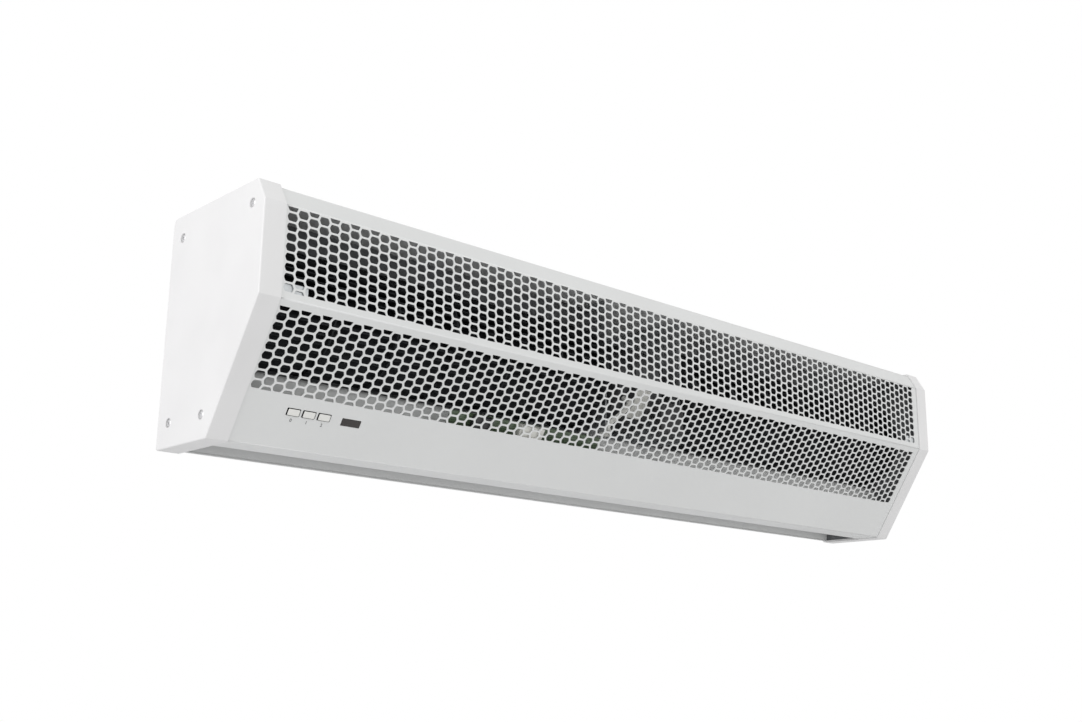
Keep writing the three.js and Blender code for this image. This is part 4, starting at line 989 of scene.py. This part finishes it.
def cross_flow_wheel(name, side):
    """Blades, rings and end discs as one piece, and the motor side's hub as another."""
    shell = Mesh()
    inner, outer = WHEEL_INNER_END, WHEEL_OUTER_END

    def ring(into, x0, x1, bore, radius, steps=WHEEL_STEPS):
        corners = [(x0, bore), (x0, radius), (x1, radius), (x1, bore), (x0, bore)]
        into.turned([(side * x, r) for x, r in corners], steps)

    ends = (inner + BLADE_SINK, outer - BLADE_SINK)
    for i in range(BLADES):
        outline = blade_outline(2 * math.pi * i / BLADES)
        shell.strip(*[[to_row(side * x, *p) for p in outline] for x in ends], closed=True)
        for x in ends:
            shell.fill(outline, [], lambda p, end=x: to_row(side * end, *p))
    for i in range(RINGS):
        x = inner + (outer - inner) * (i + 1) / (RINGS + 1)
        ring(shell, x - RING_HALF, x + RING_HALF, WHEEL_RADIUS * RING_BORE, WHEEL_RADIUS)
    ring(shell, inner, inner + DISC_SHEET, SHAFT_BORE, WHEEL_RADIUS)
    ring(shell, outer - DISC_SHEET, outer, PIN_BORE, WHEEL_RADIUS)
    ring(shell, outer - PIN_HUB_LENGTH, outer - DISC_SHEET, PIN_BORE, PIN_HUB_R)
    polished(shell.make(f"{name}_blades", "wheel_plastic", "rotor", replaces=[name]))
    hub = Mesh()
    ring(hub, inner + DISC_SHEET, inner + HUB_LENGTH, SHAFT_BORE, HUB_R, HUB_STEPS)
    screw_x = side * (inner + (DISC_SHEET + HUB_LENGTH) / 2)
    piece = hub.make(f"{name}_hub", "wheel_plastic", "rotor")
    pierced(piece, upright_rod(screw_x, AXIS_Y, HUB_SCREW_R, AXIS_Z, AXIS_Z + 2 * HUB_R))
    polished(piece)


def round_piece(node, slot, profile, body="housing", side=1):
    """Replaces a faceted round CAD piece by a smooth one."""
    shell = Mesh()
    shell.turned([(side * x, r) for x, r in profile], PIECE_STEPS)
    polished(shell.make(f"{node}_round", slot, body, replaces=[node]), FINE_CREASE)


def round_pair(name, slot, profile, body="housing"):
    """The same round piece on both sides."""
    for suffix, side in SIDES:
        round_piece(f"{name}_{suffix}", slot, profile, body, side)


def ring_profile(x0, x1, bore, radius):
    """A ring with its outer edges chamfered."""
    corners = [(x0, bore), (x0, radius - RING_CHAMFER), (x0 + RING_CHAMFER, radius)]
    corners += [(x1 - RING_CHAMFER, radius), (x1, radius - RING_CHAMFER), (x1, bore)]
    return [*corners, (x0, bore)]


def motor_and_bearings():
    """Round pieces about the wheels' axis."""
    band = MOTOR_BAND_HALF
    foot, rise = MOTOR_SHIELD_FOOT
    half = [
        (band, MOTOR_BAND_R),
        (band, MOTOR_SHIELD_R + rise),
        (band + foot, MOTOR_SHIELD_R),
        *((MOTOR_SHIELD - back, MOTOR_SHIELD_R - drop) for back, drop in MOTOR_SHIELD_EDGE),
        (MOTOR_SHIELD, NECK_R),
        (NECK_END - SHAFT_CHAMFER, NECK_R),
        (NECK_END, NECK_R - SHAFT_CHAMFER),
        (NECK_END, SHAFT_BORE),
    ]
    fins = []
    for i in range(1, MOTOR_FINS + 1):
        fins.append((FIN_START - band + i * FIN_PITCH, MOTOR_BAND_R - (FIN_SINK if i % 2 else 0)))
    mirror = [(-x, r) for x, r in reversed(half)]
    round_piece("motor_body", "motor_paint", [*mirror, *fins, *half, mirror[0]])
    round_pair("motor_ring", "black_rubber", ring_profile(*MOUNT_RING))
    middle = CAP_INNER + CASING_SHEET / 2
    bearing = ring_profile(middle - BEARING_HALF, middle + BEARING_HALF, BEARING_BORE, BEARING_R)
    round_pair("bearing", "bright_steel", bearing)
    cushion = ring_profile(middle - CUSHION_HALF, middle + CUSHION_HALF, CUSHION_BORE, CUSHION_R)
    round_pair("bearing_cushion", "black_rubber", cushion)
    base, top = CAP_INNER + CASING_SHEET + FIT, middle + CUSHION_HALF + FIT
    cup = [
        (base, CUSHION_R + FIT),
        (base, RETAINER_FLANGE_R),
        (base + RETAINER_SHEET, RETAINER_FLANGE_R),
        (base + RETAINER_SHEET, RETAINER_R + RETAINER_FOOT),
        (base + RETAINER_SHEET + RETAINER_FOOT, RETAINER_R),
        (top + RETAINER_SHEET - RETAINER_EDGE, RETAINER_R),
        (top + RETAINER_SHEET, RETAINER_R - RETAINER_EDGE),
        (top + RETAINER_SHEET, RETAINER_BORE),
        (top, RETAINER_BORE),
        (top, CUSHION_R + FIT),
        (base, CUSHION_R + FIT),
    ]
    round_pair("bearing_retainer", "zinc_sheet", cup)
    end = WHEEL_INNER_END + HUB_LENGTH - FIT
    shaft = [
        (-end, 0),
        (-end, SHAFT_R - SHAFT_CHAMFER),
        (SHAFT_CHAMFER - end, SHAFT_R),
        (end - SHAFT_CHAMFER, SHAFT_R),
        (end, SHAFT_R - SHAFT_CHAMFER),
        (end, 0),
    ]
    round_piece("motor_shaft", "bright_steel", shaft, "rotor")
    near, far = WHEEL_OUTER_END - PIN_HUB_LENGTH + FIT, CAP_INNER + PIN_REACH
    pin = [
        (near, 0),
        (near, PIN_R - PIN_CHAMFER),
        (near + PIN_CHAMFER, PIN_R),
        (far - PIN_CHAMFER, PIN_R),
        (far, PIN_R - PIN_CHAMFER),
        (far, 0),
    ]
    round_pair("wheel_pin", "bright_steel", pin, "rotor")


LABEL_X = (-15, 4)
LABEL_TURN = (12, 55)  # degrees below level, at the motor's front
LABEL_STEPS = 12
LABEL_LIFT = 0.05
LABEL_SHEET = 0.15


def motor_label():
    """A blank rating label, curved round the front of the motor's body."""
    start, end = LABEL_TURN
    turns = [math.radians(start + (end - start) * i / LABEL_STEPS) for i in range(LABEL_STEPS + 1)]
    outline = []
    for lift, order in ((LABEL_LIFT, 1), (LABEL_LIFT + LABEL_SHEET, -1)):
        radius = MOTOR_BAND_R + lift
        arc = [at(AXIS_Y - radius * math.cos(t), AXIS_Z - radius * math.sin(t)) for t in turns]
        outline += arc[::order]
    shell = Mesh()
    shell.strip(*[[to_row(x, *p) for p in outline] for x in LABEL_X], closed=True)
    for x in LABEL_X:
        shell.fill(outline, [], lambda p, end=x: to_row(end, *p))
    polished(shell.make("motor_label", "pale_plastic"), FINE_CREASE)


for name, side in SIDES:
    cross_flow_wheel(f"wheel_{name}", side)
motor_and_bearings()
motor_label()

# ---------------------------------------------------------------- softened copies of CAD pieces

FLAT_ANGLE = 1  # degrees, below which neighbouring faces become one


def soft_copy(node, width, segments=2):
    """Replaces a CAD piece by a copy with rounded edges."""
    data = frame["nodes"][node].data.copy()
    slot = next(p["material_slot"] for p in frame["record"]["subparts"] if p["node"] == node)
    bm = bmesh.new()
    bm.from_mesh(data)
    bmesh.ops.remove_doubles(bm, verts=bm.verts, dist=WELD)
    bmesh.ops.dissolve_limit(bm, angle_limit=math.radians(FLAT_ANGLE), verts=bm.verts, edges=bm.edges)
    bm.to_mesh(data)
    bm.free()
    softened(place(bpy.data.objects.new(f"{node}_soft", data), slot, replaces=[node]), width, segments)


KEY_TOP = 0.8  # over the panel's face
KEY_SKIN = 0.35  # the pale cap over the key's dark skirt
KEY_SKIRT_INSET = 0.15
KEY_TAPER = 0.2
KEY_LEAD_IN = 0.3
KEY_BASE = -3.6
KEY_STEM = 6
KEY_STEM_WIDTH = 3
KEY_STEM_ROUND = 0.3
KEY_ROUND = 0.7
KEY_EDGE = ((0, 0.2), (0.08, 0.07), (0.22, 0))  # insets of the cap's rounded edge, and depths


def stack(name, slot, body, layers, replaces=()):
    """A closed piece from outlines at rising heights over the sloped face."""
    shell = Mesh()
    rings = [[LOWER_FACE @ Vector((*p, height)) for p in loop] for loop, height in layers]
    for one, two in zip(rings, rings[1:]):
        shell.strip(one, two, closed=True)
    for loop, height in (layers[0], layers[-1]):
        shell.fill(loop, [], lambda p, level=height: LOWER_FACE @ Vector((*p, level)))
    return polished(shell.make(name, slot, body, replaces))


def key(node, x, body):
    """A push button: a dark skirt in the place of its CAD node, a pale cap and a dark stem."""
    low, high = face_box(node)
    width, height = high.x - low.x, high.y - low.y

    def outline(inset):
        return rounded_box(x, BUTTON_RISE, width - 2 * inset, height - 2 * inset, KEY_ROUND - inset)

    seam = KEY_TOP - KEY_SKIN
    foot, side = outline(KEY_SKIRT_INSET + KEY_TAPER), outline(KEY_SKIRT_INSET)
    skirt = [(foot, KEY_BASE), (side, KEY_BASE + KEY_LEAD_IN), (side, seam)]
    stack(f"{node}_skirt", "dark_plastic", body, skirt, [node])
    edge = [(outline(inset), KEY_TOP - depth) for inset, depth in KEY_EDGE]
    stack(f"{node}_cap", "key_plastic", body, [(outline(0), seam), *edge])
    stem = rounded_box(x, BUTTON_RISE, KEY_STEM_WIDTH, KEY_STEM_WIDTH, KEY_STEM_ROUND)
    stack(f"{node}_stem", "dark_plastic", body, [(stem, KEY_BASE - KEY_STEM), (stem, KEY_BASE)])


MOULDED_ROUND = 0.8
PLAIN_ROUND = 0.4
SHEET_ROUND = 0.25

for level, x in zip(("off", "low", "high"), BUTTON_X):
    key(f"button_{level}", x, f"key_{level}")
for node in ("run_capacitor", "board_relay", "board_transformer"):
    soft_copy(node, MOULDED_ROUND, 3)
for node in ("terminal_block", "board_carrier", "switch_frame"):
    soft_copy(node, PLAIN_ROUND)
for node in ("capacitor_bracket", "panel_stay_left", "panel_stay_right"):
    soft_copy(node, SHEET_ROUND)

# ---------------------------------------------------------------- marks under the buttons

MARK_SIZE = 3.8
MARK_WEIGHT = 0.05
MARK_RISE = 22.9
MARK_LIFT = 0.02
MARK_STEPS = 4


def marks():
    """Plain printed numbers, one under each button."""
    for i, x in enumerate(BUTTON_X):
        curve = bpy.data.curves.new(f"mark_{i}", "FONT")
        curve.body = str(i)
        curve.align_x = "CENTER"
        curve.size = MARK_SIZE
        curve.resolution_u = MARK_STEPS
        curve.extrude = MARK_LIFT / 2
        curve.offset = MARK_WEIGHT
        text = bpy.data.objects.new("text", curve)
        bpy.context.scene.collection.objects.link(text)
        graph = bpy.context.evaluated_depsgraph_get()
        data = bpy.data.meshes.new_from_object(text.evaluated_get(graph))
        bpy.data.objects.remove(text)
        data.transform(LOWER_FACE @ Matrix.Translation((x, MARK_RISE, MARK_LIFT)))
        place(bpy.data.objects.new(f"button_mark_{i}", data), "dark_plastic")


marks()

# ---------------------------------------------------------------- camera, lamps, floor and backdrop

IMAGE_WIDTH = 1082
FOCAL_PIXELS = 1302.84
SENSOR = 36
CAMERA_PLACE = (-910.314, -935.965, -172.093)
CAMERA_TURN = (42.829, 13.929, 0.691)  # degrees to the right, upwards and of roll
CLIP_START = 0.01


def camera():
    """The photo's view."""
    turn, rise, roll = (math.radians(a) for a in CAMERA_TURN)
    ahead = Vector((math.sin(turn) * math.cos(rise), math.cos(turn) * math.cos(rise), math.sin(rise)))
    right = ahead.cross(Vector((0, 0, 1))).normalized()
    up = right.cross(ahead)
    level = right * math.cos(roll) + up * math.sin(roll)
    upright = up * math.cos(roll) - right * math.sin(roll)
    data = bpy.data.cameras.new("camera")
    data.sensor_width = SENSOR
    data.sensor_fit = "HORIZONTAL"
    data.lens = SENSOR * FOCAL_PIXELS / IMAGE_WIDTH
    data.clip_start = CLIP_START
    made = bpy.data.objects.new("camera", data)
    bpy.context.scene.collection.objects.link(made)
    axes = Matrix((level, upright, -ahead)).transposed().to_4x4()
    made.matrix_world = Matrix.Translation(to_row(*CAMERA_PLACE)) @ axes
    bpy.context.scene.camera = made


def lamp(name, spot, aim, size, power, color):
    """A soft rectangular lamp. Places and sizes are in metres, and power is in watts."""
    data = bpy.data.lights.new(name, "AREA")
    data.shape = "RECTANGLE"
    data.size, data.size_y = size
    data.energy = power
    data.color = color
    made = bpy.data.objects.new(name, data)
    bpy.context.scene.collection.objects.link(made)
    made.location = spot
    made.rotation_euler = (Vector(aim) - Vector(spot)).to_track_quat("-Z", "Y").to_euler()


def white_seen_directly(tree, shade, output):
    """Shows white to the camera and in gloss and glass, and the shade elsewhere."""
    path = tree.nodes.new("ShaderNodeLightPath")
    seen = path.outputs["Is Camera Ray"]
    for ray in ("Is Glossy Ray", "Is Transmission Ray"):
        both = tree.nodes.new("ShaderNodeMath")
        both.operation = "MAXIMUM"
        tree.links.new(seen, both.inputs[0])
        tree.links.new(path.outputs[ray], both.inputs[1])
        seen = both.outputs[0]
    white = tree.nodes.new("ShaderNodeBackground")
    white.inputs["Color"].default_value = (1, 1, 1, 1)
    white.inputs["Strength"].default_value = 1
    mix = tree.nodes.new("ShaderNodeMixShader")
    tree.links.new(seen, mix.inputs["Fac"])
    tree.links.new(shade, mix.inputs[1])
    tree.links.new(white.outputs[0], mix.inputs[2])
    tree.links.new(mix.outputs[0], output)


AMBIENT = 0.66


def world():
    """Even white light from all round."""
    made = bpy.data.worlds.new("studio")
    made.use_nodes = True
    tree = made.node_tree
    shade = tree.nodes["Background"]
    shade.inputs["Color"].default_value = (1, 1, 1, 1)
    shade.inputs["Strength"].default_value = AMBIENT
    white_seen_directly(tree, shade.outputs[0], tree.nodes["World Output"].inputs["Surface"])
    bpy.context.scene.world = made


FLOOR_LEVEL = -0.6
FLOOR_RADIUS = 4
FLOOR_STEPS = 96
FLOOR_COLOR = (0.86, 0.86, 0.865)


def floor():
    """A plain round floor below the unit."""
    bm = bmesh.new()
    bmesh.ops.create_circle(bm, cap_ends=True, segments=FLOOR_STEPS, radius=FLOOR_RADIUS)
    data = bpy.data.meshes.new("floor")
    bm.to_mesh(data)
    bm.free()
    made = bpy.data.objects.new("floor", data)
    bpy.context.scene.collection.objects.link(made)
    made.location.z = FLOOR_LEVEL
    finish = Finish("floor", FLOOR_COLOR, 0.9)
    finish.shift(finish.noise(1.5, 2), 0.01)
    data.materials.append(finish.material)


camera()
world()
floor()
lamp("key", (-3.2, -0.4, 0.6), (-0.2, 0, 0), (1.8, 1.8), 36, (0.998, 0.985, 1))
lamp("front", (-1.0, -2.5, 2.0), (0, 0, 0), (2.0, 1.4), 22, (1, 1, 0.99))
lamp("fill", (1.7, -1.9, -0.35), (0, 0, -0.05), (1.2, 0.8), 7, (1, 0.97, 0.96))

bpy.context.scene.view_settings.view_transform = "Standard"
